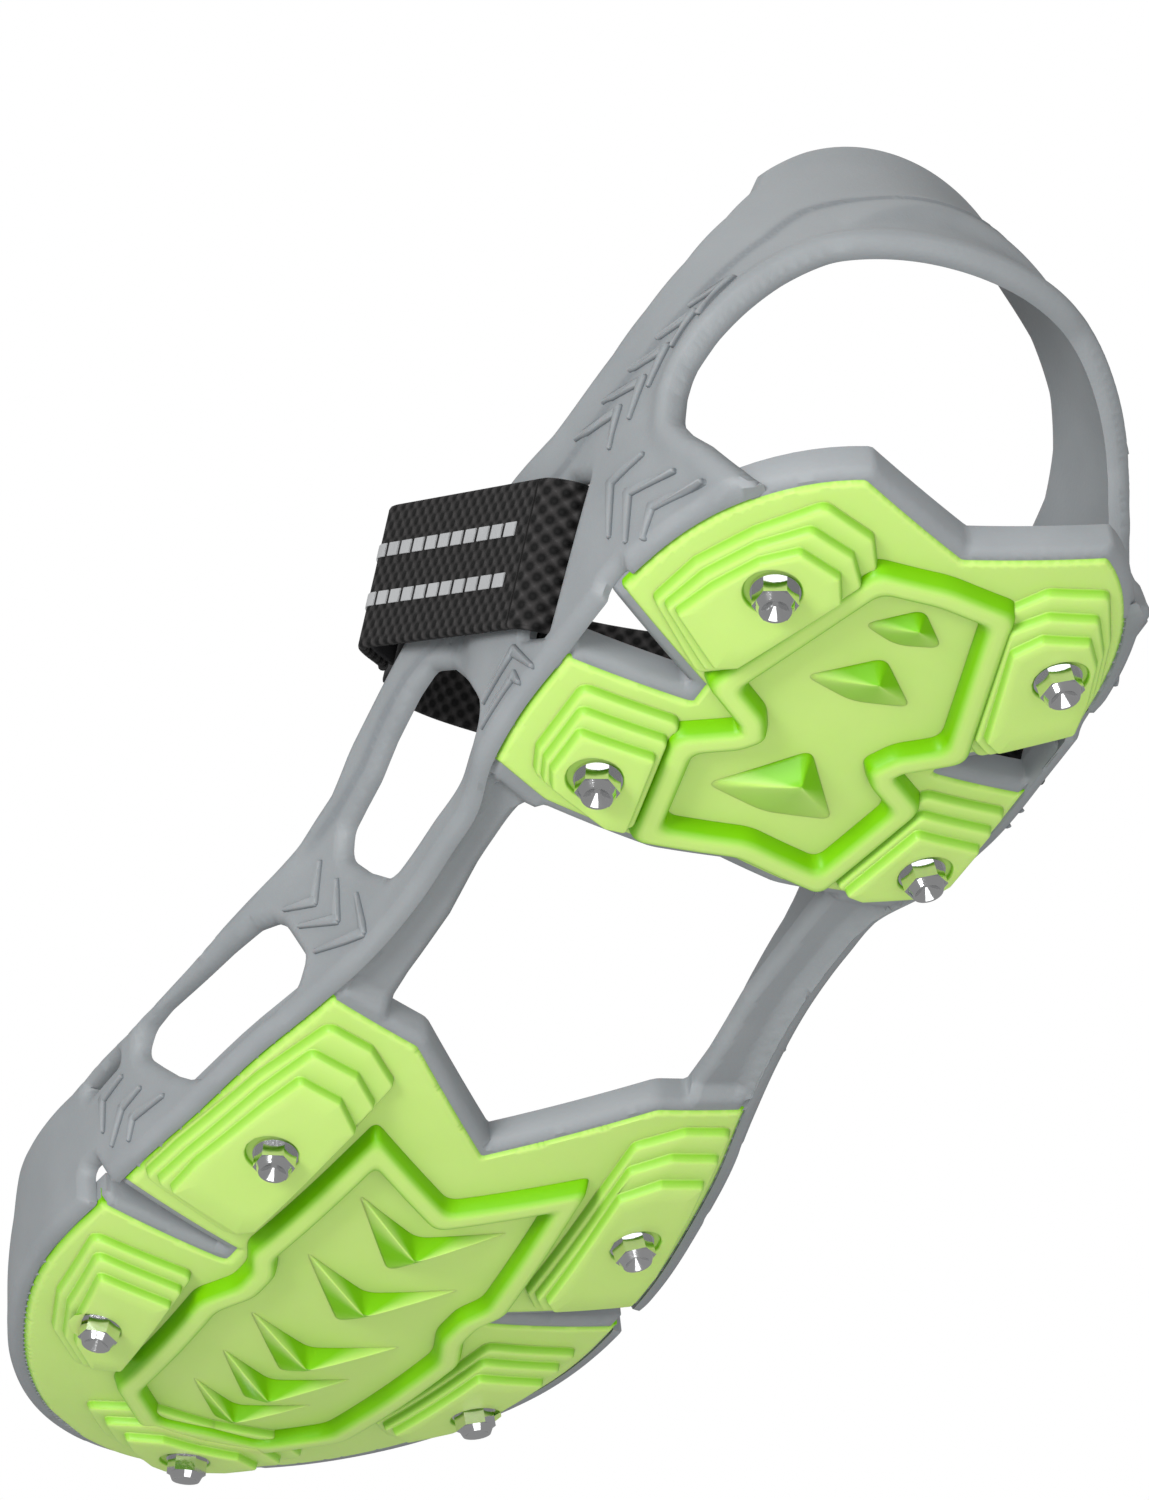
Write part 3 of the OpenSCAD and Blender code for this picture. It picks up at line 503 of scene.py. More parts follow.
parts = [plate((-11, 80, 46), 0.6, HEEL_OUTLINE), rib(HEEL_FLOOR)]
parts += [lug(tiers, stud, far) for tiers, stud in HEEL_LUGS for far in (False, True)]
for tip, end, half, height in ((12, 19.5, 7, 3.0), (24, 33.5, 9.5, 3.7), (47.5, 62, 11.5, 4.6)):
    base = [(tip, 0), (end - 1, -half), (end + 1, 0), (end - 1, half)]
    parts.append(wedge(base, (tip + 0.28 * (end - tip), 0), height))
points, faces, steep = join(parts)
piece("heel_tread", points, faces, LIME, "harness", "outsole_lime", ["heel_outsole"], steep=steep)


# Forefoot outsole.
# The same lime elastomer with larger lugs, five chevrons along the floor and a terraced toe lug.
# It is bonded under the forefoot tray and turns up with the toe spring.

FORE_OUTLINE = [
    ([(182.3, -20), (142, 24), (138.5, 42), (152, 48), (170, 52), (189, 55), (195, 54), (196.5, 51.5), (203, 26),
      (208.3, -20)], 2),
    ([(202.3, -20), (211, 27), (209, 53), (220, 54), (240, 51), (253, 46.5), (271, 35), (284.5, 23.5), (293, 13),
      (308, -20)], 2),
    ([(196.3, -20), (200, 24), (212, 24), (215.7, -20)], 2),
]
FORE_LUGS = [
    ([([(144, 37.6), (145, 31), (150, 25), (194, 28), (197.5, 31), (192.5, 47), (183, 46), (160, 42)], 2),
      ([(149, 38.4), (150, 31), (154.5, 26), (193, 28.8), (195.5, 31), (191, 46), (182, 45), (161, 41.4)], 1.6),
      ([(154, 38.5), (155, 31.5), (160, 26.5), (191.5, 29.5), (193.5, 31.5), (190, 44.6), (181, 44.2),
        (162, 40.5)], 1.2)],
     (171.6, 35.5)),
    ([([(217, 31), (251, 27), (256, 32), (248, 39.5), (236, 44), (217, 46.5)], 2),
      ([(219.5, 31.2), (250, 27.8), (253.5, 32), (246.5, 38.5), (236, 42.5), (219.5, 45)], 1.6),
      ([(222.5, 31.5), (248.5, 28.5), (251, 32), (245, 37.5), (236, 41), (222.5, 43.5)], 1.2)],
     (237, 38.3)),
]
TOE_LUG = [(whole([(290, 0), (289, 5), (283.5, 13), (275, 20), (268, 12), (269, 0)])[:-1], 2),
           (whole([(289, 0), (288, 4), (282, 11.5), (276, 16.5), (271, 10), (272, 0)])[:-1], 1.6),
           (whole([(287.5, 0), (286.5, 3), (281.5, 9), (277, 12.5), (274, 7.5), (274.5, 0)])[:-1], 1.2)]
FORE_FLOOR = whole([(181, 0), (170, 16.5), (200, 20), (205, 17.5), (213, 17.5), (221, 21), (258, 18.5), (268, 10),
                    (267, 0)])
parts = [plate((134, 301, 55), 0.7, FORE_OUTLINE), rib(FORE_FLOOR)]
parts += [lug(tiers, stud, far) for tiers, stud in FORE_LUGS for far in (False, True)]
parts.append(lug(TOE_LUG, (280, 0), False))
for start, half, reach, height in ((179.5, 14.5, 18, 4.6), (199, 15, 18, 4.6), (221.5, 15, 18, 4.6),
                                   (237, 13, 17, 4.6), (251, 12, 15, 3.7)):
    base = [(start, half), (start + 7.0, 0), (start, -half), (start + reach, 0)]
    parts.append(wedge(base, (start + 8.2, 0), height))
points, faces, steep = join(parts)
piece("forefoot_tread", points, faces, LIME, "harness", "outsole_lime", ["forefoot_outsole"], steep=steep)


# Studs.
# Nine zinc-plated steel studs with hexagon heads and cupped biting rings, screwed into the lugs from below.
# Their solids are exact, so they only take their finish here.

ZINC, tree, skin = shader("stud_zinc", (0.76, 0.765, 0.77), 0.12, Metallic=1.0)
zinc_grain = use_group(tree, GRAIN, Scale=1500, Depth=0.08)
vary(tree, skin, zinc_grain.outputs["Mottle"], ((0.66, 0.665, 0.67), (0.86, 0.865, 0.87)), (0.04, 0.2))
tree.links.new(zinc_grain.outputs["Normal"], skin.inputs["Normal"])
for name, node in nodes.items():
    if name.startswith("stud_"):
        node.data.materials.clear()
        node.data.materials.append(ZINC)


# Trays and arch webs.
# The grey stretch elastomer under the sole: it rims both outsoles and ties them together along the arch.
# It is moulded in one with the walls, whose feet stand along its edge.

GREY, tree, skin = shader("harness_grey", (0.26, 0.278, 0.29), 0.55, Subsurface_Weight=0.06, Subsurface_Scale=0.002)
grey_grain = use_group(tree, GRAIN, Scale=1400, Depth=0.25)
grey_tone = vary(tree, skin, grey_grain.outputs["Mottle"], ((0.226, 0.244, 0.256), (0.296, 0.314, 0.326)),
                 (0.45, 0.65))
# Painted shadow: the grey turns dark along the rail's crease and at the foot of each chevron arm, in place of the
# shadow of these small steps.
grey_shadow_mix = blend_colors(tree, (1, 1, 1), (0.1, 0.115, 0.13), mark(tree, "brink"))
tree.links.new(grey_tone.outputs["Result"], grey_shadow_mix.inputs["A"])
tree.links.new(grey_shadow_mix.outputs["Result"], skin.inputs["Base Color"])
tree.links.new(grey_grain.outputs["Normal"], skin.inputs["Normal"])

ARCH_WEB = [([(70, 24), (84, 28.5), (99, 28.5), (112, 28), (128, 29), (137, 29), (143, 20), (160, 30), (150, 60),
              (70, 60)], 0)]
WALL_FEET = [([(-1.5, 20), (27, 20), (27, 70), (-1.5, 70)], 0), ([(36, 20), (200, 20), (200, 70), (36, 70)], 0),
             ([(209.2, -20), (330, -20), (330, 70), (209.2, 70)], 0)]
FRAME_STEP, FRAME_EASE = 0.8, 1.3


def under(q):
    """Distance and its way for the trays, webs and wall feet; with the tray's and the outsoles' own distances."""
    s, s_way = sole(q)
    lime, lime_way = plan(q, HEEL_OUTLINE + FORE_OUTLINE)
    tray = both((lime - 2, lime_way), (s - 1.5 * (q[:, 0] < 4 - MIDDLE), s_way))
    lean = np.column_stack([np.zeros(len(q)), 1.3 * curve((q[:, 0] - HEEL_END) / LENGTH, LEAN)])
    web = both(plan(q - lean, ARCH_WEB), (s, s_way))
    wall_foot = both(both(plan(q, WALL_FEET), (s - 1.5, s_way)), (-s - 1, -s_way))
    d, way = tray
    for other in (web, wall_foot):
        closer = other[0] < d
        d = np.where(closer, other[0], d)
        way = np.where(closer[:, None], other[1], way)
    return d, way, tray[0], s, *both((lime, lime_way), (s + 0.15, s_way))


x, y = np.arange(-160, 164, FRAME_STEP), np.arange(-60, 60.4, FRAME_STEP)
grid = np.stack(np.meshgrid(x, y, indexing="ij"), -1)
p = grid.reshape(-1, 2)
d, way, _, _, inset, inset_way = under(p)
p, marked = slide(p, FRAME_STEP, [(inset, inset_way, -FRAME_EASE), (d, way, -FRAME_EASE)])
p, rim = slide(p, FRAME_STEP, [(*under(p)[:2], 0)])
d, _, tray, s, inset, _ = under(p)
d = np.where(rim, 0, d)
t = triangles(grid.shape[:2], d > 1e-6, marked | rim)
t = t[under(p[t].mean(1))[0] < -0.03]
base = RIM + 2.2 * smooth(tray / 2.5) * smooth(-s / 2.5)
base += FRAME_EASE * np.clip(1 + d / FRAME_EASE, 0, 1)
base = np.where(inset < -1.4, PLATE_TOP + 0.03, base)
rise = lift(*p.T)
points, faces, used = closed(np.column_stack([p, base + rise]), np.column_stack([p, TRAY_TOP + rise]), t)
piece("sole_frame", points, faces, GREY, "harness", "harness_grey",
      ["heel_tray", "forefoot_tray", "near_arch_web", "far_arch_web"], brink=np.zeros(len(points)))


# Side nets, heel band and toe band.
# The wall of the same grey moulding, which stays on by its own stretch: openings, a creased rail, rolled lips,
# raised chevrons and a finger ledge on the heel tab.

TOP_EDGE = [
    (316, 66), (299, 62), (275, 55), (250, 48), (228, 42.5), (208, 39.5), (198, 39.5), (188, 38.5), (177, 39),
    (167.5, 39.6), (157.5, 40.5), (142, 41.3), (134, 41.9), (122.6, 43.7), (114, 47.8), (107, 50), (100, 52.3),
    (93, 54.6), (80, 55.4), (60, 55.6), (42, 56), (26, 59.8), (18.8, 63.9), (12.4, 69.6), (8.3, 77.2), (7, 86),
    (7.3, 91), (4.9, 95.7), (2.4, 99.8), (1.5, 103), (0.5, 105), (-30, 105),
]
CREASE = [
    (-90, 74.5), (-10.4, 74.5), (-6.6, 73.5), (-4, 71.6), (-1.5, 65.5), (3.7, 59.8), (9.2, 55.3), (17.2, 50.9),
    (27.3, 48.2), (40, 46), (60, 45), (73, 44.3), (79.6, 40.6), (83.6, 46.5), (95, 46.6), (104, 44.3), (112, 41.3),
    (122, 39), (140, 37), (360, 37), (360, 140), (-90, 140),
]
ALMOND = [([(-60, 2), (-7, 6), (-2, 15), (3.2, 25.5), (6, 29.8), (7.4, 33), (6.6, 36.3), (4.8, 40), (1.8, 43.3),
            (-2.4, 46.6), (-7, 50), (-11.5, 52.8), (-17, 53.4), (-60, 53.4)], 4)]
SLOT_AT, STRAP_TILT = (46.5, 31.8), np.radians(37)
SLOT = [(SLOT_AT[0] + a * np.cos(STRAP_TILT) - b * np.sin(STRAP_TILT),
         SLOT_AT[1] + a * np.sin(STRAP_TILT) + b * np.cos(STRAP_TILT))
        for a, b in ((-5.9, -12.2), (0.5, -12.2), (0.5, 12.2), (-5.9, 12.2))]
WINDOWS = [
    ([(28.6, 12.6), (31.5, 12.3), (36, 7), (28.3, 7)], 2),
    (SLOT, 1),
    ([(86.5, 38.7), (85, 36.4), (77.8, 25.6), (75.8, 21.4), (77, 20.9), (109, 21.6), (112.5, 22.3), (114.2, 24),
      (118.3, 28), (121.2, 32), (120.5, 33.4), (117, 34.4), (111, 35.7), (104, 38.6), (95, 41), (90.5, 41.5)], 3.2),
    ([(142.3, 20.8), (143.6, 19.2), (147.5, 18.8), (170, 19.1), (173, 20.9), (177.7, 25.1), (181.5, 29.5),
      (184, 32.6), (182.8, 33.8), (178.6, 34.4), (160, 33.6), (152, 32.8), (148, 31.2), (145.6, 28.8)], 2.6),
    ([(193.3, 35.6), (198, 35.8), (203.2, 35.9)], 1),
    ([(199.5, 9), (205.8, 20.6), (207.3, 20.8), (207.6, 9)], 1.6),
]
CHEVRONS = [
    ((7.7, 55.8), (1.1, 56.8), (4.2, 50.5)), ((13.8, 53.1), (6.9, 53.1), (10.3, 48.2)),
    ((20, 50.9), (12.3, 49.4), (15.9, 43.8)), ((27.2, 49.9), (17.6, 46.5), (20.5, 40.3)),
    ((35.4, 48.7), (23.8, 45), (26.1, 38.4)), ((18.4, 30.5), (26.6, 31), (28.2, 20.7)),
    ((12.3, 21.9), (22.6, 25.6), (24.3, 16.4)), ((7, 15.5), (17.8, 18.7), (20.5, 14)),
    ((69.3, 19.7), (58, 21.2), (53.2, 14)), ((71, 15.8), (58.7, 16.3), (57.4, 14)),
    ((130, 34.2), (133.5, 28.3), (141.5, 32.2)), ((126.6, 27.8), (128.8, 21.2), (138.4, 26.5)),
    ((122.2, 21.7), (122.6, 14), (135.6, 19.2)), ((192, 30.9), (199, 30.7), (199.9, 24.4)),
    ((187, 25), (193, 24.8), (197.3, 19.6)), ((180.7, 19.1), (190, 20.7), (191.8, 17)),
]


WALL, WALL_EASE = 2.8, 1.5      # thickness, and how far in its edges are eased
RAIL_END = 136                  # where the rail's crease fades out


def union(q, shapes):
    """Distance to a union of rounded polygons seen from the side."""
    return np.min([edge(q, corners, grow)[0] for corners, grow in shapes], axis=0)


def net(q):
    """Distances seen from the side: to the net's edges, the upper edge, the heel opening and the rail's crease."""
    a = np.arange(-30, 316, 3.0)
    half = curve(np.arccos(1 - 2 * np.clip((a - MIDDLE - HEEL_END) / LENGTH, 0, 1)), SOLE_BY_ANGLE)
    hem = np.column_stack([a, RIM + lift(a - MIDDLE, half)])
    under_top = edge(q, TOP_EDGE + [(-90, 105), (-90, -60), (360, -60), (360, 66)], 0)[0]
    over_hem = edge(q, np.vstack([hem, [(360, 60), (360, 160), (-90, 160), (-90, 10)]]), 0)[0]
    heel = union(q, ALMOND)
    holes = np.minimum(heel, union(q, WINDOWS))
    return np.max([under_top, over_hem, -holes], axis=0), under_top, heel, edge(q, CREASE, 0)[0]


def thickness(q, y, d, top, heel, crease):
    """The wall's outer face: eased edges, a rail over its crease, a lip round the heel opening, a tab ledge."""
    outer = WALL - 1.4 * np.clip(1 + d / WALL_EASE, 0, 1)
    outer += 0.4 * smooth(-crease / 0.5) * smooth((RAIL_END - q[:, 0]) / 10) + 0.7 * smooth((8 + top) / 8)
    outer += 1.5 * np.exp(-np.square((heel - 3) / 2.3))
    share = np.clip(1 - np.square(y / 19), 0, 1) * (q[:, 0] < 2)
    ridge = 72.5 - 0.026 * y * y
    ledge = smooth((q[:, 1] - ridge + 5.5 * share) / (5.5 * share + 0.5)) * (1 - smooth((q[:, 1] - ridge - 1) / 9))
    return outer + 2.0 * share * ledge


def walls(columns, rows):
    """Angle and height at places on the wall's own grid, from arc length round the sole; and the whole length."""
    around = np.linspace(0, 2 * np.pi, 4001)
    line = form(around, np.full(4001, 15.0), 0)[:, :2]
    length = np.concatenate([[0], np.cumsum(np.linalg.norm(np.diff(line, axis=0), axis=1))])
    return np.interp(columns * STEP, length, around), -7 + rows * STEP, length[-1]


STEP = 0.75
whole_length = walls(np.zeros(1), np.zeros(1))[2]
count = int(whole_length / STEP)
STEP = whole_length / count
shape = (count, int(98 / STEP))
place = np.stack(np.meshgrid(np.arange(count), np.arange(shape[1]), indexing="ij"), -1).astype(float)


def seen(at):
    """Places on the wall's grid as seen from the side, counted from the heel notch."""
    angle, h, _ = walls(at[..., 0] % count, at[..., 1])
    q = form(angle.ravel(), h.ravel(), 1.4)
    return np.column_stack([q[:, 0] + MIDDLE, q[:, 2]])


def fit(measures, which, level):
    """Grid places moved onto a contour in two Newton steps, and which of them are within half a step of it."""
    v = measures[which].reshape(shape) - level
    grown = np.vstack([v[-1:], v, v[:1]])
    way = np.stack([(grown[2:] - grown[:-2]) / 2, np.gradient(v, axis=1)], -1)
    size = np.maximum(np.square(way).sum(-1), 1e-6)
    off = np.abs(v) / np.sqrt(size)
    close = off < 0.55
    way = way[close] / size[close][:, None]
    target = place[close] - v[close][:, None] * way
    for _ in range(2):
        target -= (net(seen(target))[which] - level)[:, None] * way
    return close, off, target


measures = net(seen(place))
moved, marked = place.copy(), np.zeros(shape, bool)
reach = np.full(shape, 0.55)
for which, level in ((3, 0), (3, -0.6), (0, -WALL_EASE)):
    close, off, target = fit(measures, which, level)
    nearer = off[close] < reach[close]
    at = tuple(k[nearer] for k in np.nonzero(close))
    moved[at] = target[nearer]
    reach[at] = off[at]
    marked |= close
rim, _, target = fit(measures, 0, 0)
moved[rim] = target
side = seen(moved)
d, top, heel, crease = net(side)
d = np.where(rim.ravel(), 0, d)
t = triangles(shape, d > 1e-6, (marked | rim).ravel(), wrap=True)
turned = moved.reshape(-1, 2)[t]
turned[..., 0] -= count * ((turned[..., 0] - turned[:, :1, 0]) > count / 2)
turned[..., 0] += count * ((turned[..., 0] - turned[:, :1, 0]) < -count / 2)
t = t[net(seen(turned.mean(1)))[0] < -0.03]
angle, h, _ = walls(moved[..., 0].ravel() % count, moved[..., 1].ravel())
inner = form(angle, h, np.full(len(h), 0.02))
outer = thickness(side, inner[:, 1], d, top, heel, crease)
points, faces, used = closed(form(angle, h, outer), inner, t)
# A painted shadow line along the rail's crease, fading out where the rail ends.
line = (0.42 * np.exp(-np.square(crease + 0.3)) * smooth((RAIL_END - side[:, 0]) / 10))[used]
parts = [(points, faces, np.concatenate([line, np.zeros(len(used))]))]


def arm(point, end, side):
    """One tapered arm of a raised chevron on the wall, as rings from inside the wall to its crest."""
    along = (end - point) / np.linalg.norm(end - point)
    across = np.array([-along[1], along[0]])
    tip = point - 0.4 * along
    flat = [tip + 0.7 * across, tip - 0.7 * across, end - 0.15 * across, end + 0.15 * across]
    rings = []
    for grow, up in ((0.35, -0.6), (0.35, 0.03), (0.25, 0.4), (0.05, 0.65)):
        q = ring(flat, grow, splits=8)
        off = thickness(q, np.full(len(q), 99.0), *net(q)) + up
        h = q[:, 1] - TRAY_TOP - spring(q[:, 0] - MIDDLE)
        heel, toe = ends(h)
        u = 0.2
        for _ in range(6):
            u = np.clip((q[:, 0] - MIDDLE + off * (1 - 2 * u) ** 3 - heel) / (toe - heel), 0, 1)
        b = np.arccos(1 - 2 * u)
        rings.append(form(b if side > 0 else 2 * np.pi - b, h, off))
    t = skin_rings(rings)
    # Painted shade at the foot of the arm, where it rises from the wall.
    return np.concatenate(rings), t[:, ::-1] if side > 0 else t, np.repeat((0.0, 0.8, 0.3, 0.0), len(rings[0]))


for first, point, second in CHEVRONS:
    parts += [arm(np.array(point), np.array(end), side) for side in (1, -1) for end in (first, second)]
points, faces, brink = join(parts)
piece("harness_walls", points, faces, GREY, "harness", "harness_grey",
      ["near_side_net", "far_side_net", "heel_band", "toe_band"], brink=brink)


# Instep strap.
# Black woven 25 mm webbing over the instep and round both rails, through their slots.
# Its far end is sewn down, and its loose end closes on itself with hook and loop.

WEBBING, tree, skin = shader("webbing_black", (0.018, 0.018, 0.021), 0.75, Specular_IOR_Level=0.25)
INNER, OUTER, REACH = 38.434, 50.069, 115.0     # half widths inside and over the rails, and the arch's reach
WIDE, THICK = 25.0, 1.6
LAID, SETTLE = 59, 19                           # where the outer layer leaves the rail, and its way down


def weave_group():
    """Plain weave from the webbing's own length and width: a height for the bump and a tone, painted shade in its
    hollows.
    """
    group = bpy.data.node_groups.new("webbing_weave", "ShaderNodeTree")
    group.interface.new_socket("Tone", in_out="OUTPUT", socket_type="NodeSocketFloat")
    group.interface.new_socket("Normal", in_out="OUTPUT", socket_type="NodeSocketVector")
    make, link = group.nodes.new, group.links.new
    result, place, split = make("NodeGroupOutput"), make("ShaderNodeUVMap"), make("ShaderNodeSeparateXYZ")
    place.uv_map = "weave"
    link(place.outputs["UV"], split.inputs["Vector"])
    waves = []
    for axis, scale in (("X", 1.8), ("Y", 2.0)):
        times, sine = make("ShaderNodeMath"), make("ShaderNodeMath")
        times.operation, sine.operation = "MULTIPLY", "SINE"
        times.inputs[1].default_value = scale
        link(split.outputs[axis], times.inputs[0])
        link(times.outputs["Value"], sine.inputs[0])
        waves.append(sine)
    cross, bump = make("ShaderNodeMath"), make("ShaderNodeBump")
    cross.operation = "MULTIPLY_ADD"
    cross.inputs[2].default_value = 0.5
    bump.inputs["Strength"].default_value = 0.9
    bump.inputs["Distance"].default_value = 0.0006
    link(waves[0].outputs["Value"], cross.inputs[0])
    link(waves[1].outputs["Value"], cross.inputs[1])
    link(cross.outputs["Value"], bump.inputs["Height"])
    link(cross.outputs["Value"], result.inputs["Tone"])
    link(bump.outputs["Normal"], result.inputs["Normal"])
    return group


WEAVE = weave_group()
weave = use_group(tree, WEAVE)
# Painted shade: the webbing is darker in the weave's hollows and lighter on its crests, which are also smoother.
vary(tree, skin, weave.outputs["Tone"], ((0.005, 0.005, 0.005), (0.034, 0.032, 0.032)), (0.85, 0.65))
tree.links.new(weave.outputs["Normal"], skin.inputs["Normal"])


def arch(d):
    """Half width inside the strap's arch at a distance along the strap: a superellipse."""
    return INNER * np.maximum(0, 1 - (np.maximum(0, d - 12) / (REACH - 12)) ** 2.6) ** (1 / 2.6)


def beside(line, t):
    """A flat line moved to its left."""
    v = np.gradient(line, axis=0)
    v /= np.linalg.norm(v, axis=1)[:, None]
    return line + t * np.column_stack([-v[:, 1], v[:, 0]])


def arch_line(start, end, gap):
    """The arch by angle in degrees, 0 at the near slot and 180 at the far one, moved out by a gap."""
    a = np.radians(np.linspace(start, end, max(4, int((end - start) / 1.2))))
    d = 4 + (REACH - 4) * np.sin(a)
    return beside(np.column_stack([d, np.where(a <= np.pi / 2, 1, -1) * arch(d)]), gap)


def fold_line(side):
    """The half turn through a slot, from the band inside the rail to the layer over it."""
    a = np.radians(np.linspace(0, 180, 25))
    r = (OUTER - INNER) / 2
    return np.column_stack([1 - r * np.sin(a), side * ((OUTER + INNER) / 2 - r * np.cos(a))])


def flap_line(start, end, gap):
    """The loose end's inner face: over the rail first, then down onto the patches."""
    d = np.linspace(start, end, max(4, int((end - start) / 1.2)))
    low = arch(d) + THICK + 2.2
    y = OUTER - THICK + (low - OUTER + THICK) * smooth((d - LAID) / SETTLE)
    return beside(np.column_stack([d, y]), gap)


def far_line(d):
    """The sewn-down far end's outer face: over the rail first, then down onto the band."""
    return np.column_stack([d, -(OUTER + (arch(d) + 2 * THICK + 0.3 - OUTER) * smooth((d - LAID) / SETTLE))])


def band(line, thick, width, across=0.0):
    """A rounded flat section swept along a line in the strap's frame: points, triangles, marks of length and width,
    and the whole length."""
    r = min(thick / 2, 0.7)
    a = np.linspace(-np.pi / 2, np.pi / 2, 6)
    flat = np.linspace(-width / 2 + r, width / 2 - r, 7)
    side = thick / 2 * np.sin(a)
    n = np.concatenate([np.zeros(7), thick / 2 + side, np.full(7, thick), thick / 2 - side])
    w = np.concatenate([flat, width / 2 - r + r * np.cos(a), -flat, -width / 2 + r - r * np.cos(a)])
    m, k = len(n), len(line)
    v = np.gradient(line, axis=0)
    v /= np.linalg.norm(v, axis=1)[:, None]
    left = np.column_stack([-v[:, 1], v[:, 0]])
    flat_place = line[:, None] + n[None, :, None] * left[:, None]
    d, y, up = flat_place[..., 0].ravel(), flat_place[..., 1].ravel(), np.tile(w + across, k)
    c, s = np.cos(STRAP_TILT), np.sin(STRAP_TILT)
    points = np.column_stack([SLOT_AT[0] - MIDDLE + d * c - up * s, y, SLOT_AT[1] + d * s + up * c])
    run = np.concatenate([[0], np.cumsum(np.linalg.norm(np.diff(line, axis=0), axis=1))])
    return points, skin_rings(points.reshape(k, m, 3)), np.repeat(run, m), np.tile(w, k), run[-1]


def cloth(name, parts, material, body, slot, stands_for):
    """One cloth piece from swept bands, with their length and width kept as its weave map in millimetres."""
    points, faces, run = join(parts)
    made = piece(name, points, faces, material, body, slot, stands_for, sharp=60)
    weave_map = made.data.uv_layers.new(name="weave")
    order = np.zeros(len(made.data.loops), np.int32)
    made.data.loops.foreach_get("vertex_index", order)
    uv = np.column_stack([run, np.concatenate([q[3] for q in parts])])
    weave_map.data.foreach_set("uv", uv[order].astype(np.float32).ravel())
    return made


line = np.concatenate([
    fold_line(1)[::-1], arch_line(0, 180, 0)[1:], fold_line(-1), far_line(np.linspace(3, 90, 58))])
strap = band(line, THICK, WIDE)
instep_strap = cloth("instep_strap", [strap], WEBBING, "harness", "webbing_black",
                     ["strap_band", "strap_fold", "far_loop"])
flap = band(flap_line(1.6, 78, 0), THICK, WIDE)
loose_end = cloth("loose_end", [flap], WEBBING, "flap", "webbing_black", ["strap_flap"])


# Strap trim.
# Hook and loop patches sewn between the layers, two rows of reflective dashes woven in, thread bar tacks
# on the far end, and a bare woven label sewn on the loose end.

PAD, PAD_WIDE = 0.8, 23.0                       # thickness and width of the patches
TRIM, PROUD = 0.25, THICK + 0.03                # thickness of the trim, and its height on the webbing
ROWS, DASH_WIDE = (-4.25, 4.25), 2.4
HOOK, tree, skin = shader("hook_loop", (0.014, 0.014, 0.016), 0.9)
hook_grain = use_group(tree, GRAIN, Scale=2500, Depth=1.0)
vary(tree, skin, hook_grain.outputs["Mottle"], ((0.007, 0.007, 0.008), (0.021, 0.021, 0.024)), (0.85, 0.95))
tree.links.new(hook_grain.outputs["Normal"], skin.inputs["Normal"])
d = np.linspace(60, 96, 30)
loop = band(beside(np.column_stack([d, arch(d)]), THICK + 0.1), PAD, PAD_WIDE)
loop_pad = cloth("loop_pad", [loop], HOOK, "harness", "hook_loop", ["loop_patch"])
hook = band(flap_line(58, 76, -0.9), PAD, PAD_WIDE)
hook_pad = cloth("hook_pad", [hook], HOOK, "flap", "hook_loop", ["hook_patch"])

SILVER, tree, skin = shader("reflective_yarn", (0.55, 0.56, 0.57), 0.38, Metallic=0.35)
silver_grain = use_group(tree, GRAIN, Scale=1800, Depth=0.5)
vary(tree, skin, silver_grain.outputs["Mottle"], ((0.45, 0.46, 0.47), (0.65, 0.66, 0.67)), (0.3, 0.46))
tree.links.new(silver_grain.outputs["Normal"], skin.inputs["Normal"])
dashes = [band(flap_line(a, a + 3.8, PROUD), TRIM, DASH_WIDE, w) for w in ROWS for a in np.arange(6, 64.3, 5.2)]
flap_dashes = cloth("flap_dashes", dashes, SILVER, "flap", "reflective", ["flap_stripes"])
dashes = [band(arch_line(a, a + 4.5, PROUD), TRIM, DASH_WIDE, w) for w in ROWS for a in np.arange(57.9, 123, 6.5)]
band_dashes = cloth("band_dashes", dashes, SILVER, "harness", "reflective", ["band_stripes"])

THREAD, tree, skin = shader("tack_thread", (0.05, 0.05, 0.055), 0.7)
thread_weave = use_group(tree, WEAVE)
# Painted shade in the thread's weave hollows, as on the webbing.
vary(tree, skin, thread_weave.outputs["Tone"], ((0.03, 0.03, 0.033), (0.07, 0.07, 0.077)), (0.6, 0.8))
tree.links.new(thread_weave.outputs["Normal"], skin.inputs["Normal"])
tacks = [band(far_line(np.linspace(a, a + 1.2, 4))[::-1], TRIM, 21) for a in (79.44, 82.08, 84.72, 87.36)]
bar_tacks = cloth("bar_tacks", tacks, THREAD, "harness", "thread", ["far_stitching"])

LABEL, tree, skin = shader("label_blue", (0.33, 0.56, 0.68), 0.6)
label_weave = use_group(tree, WEAVE)
# Painted shade in the label's weave hollows, as on the webbing.
vary(tree, skin, label_weave.outputs["Tone"], ((0.27, 0.5, 0.62), (0.39, 0.62, 0.74)), (0.5, 0.7))
tree.links.new(label_weave.outputs["Normal"], skin.inputs["Normal"])
label = band(flap_line(70, 76.5, PROUD), TRIM, 22)
label_cloth = cloth("label_cloth", [label], LABEL, "flap", "label_blue", ["flap_label"])


# Stage.
# A pale floor, soft studio light and the camera under the heel. The floor is clear to a camera below it and to
# the light's first bounces, so the tread is lit from below as well.

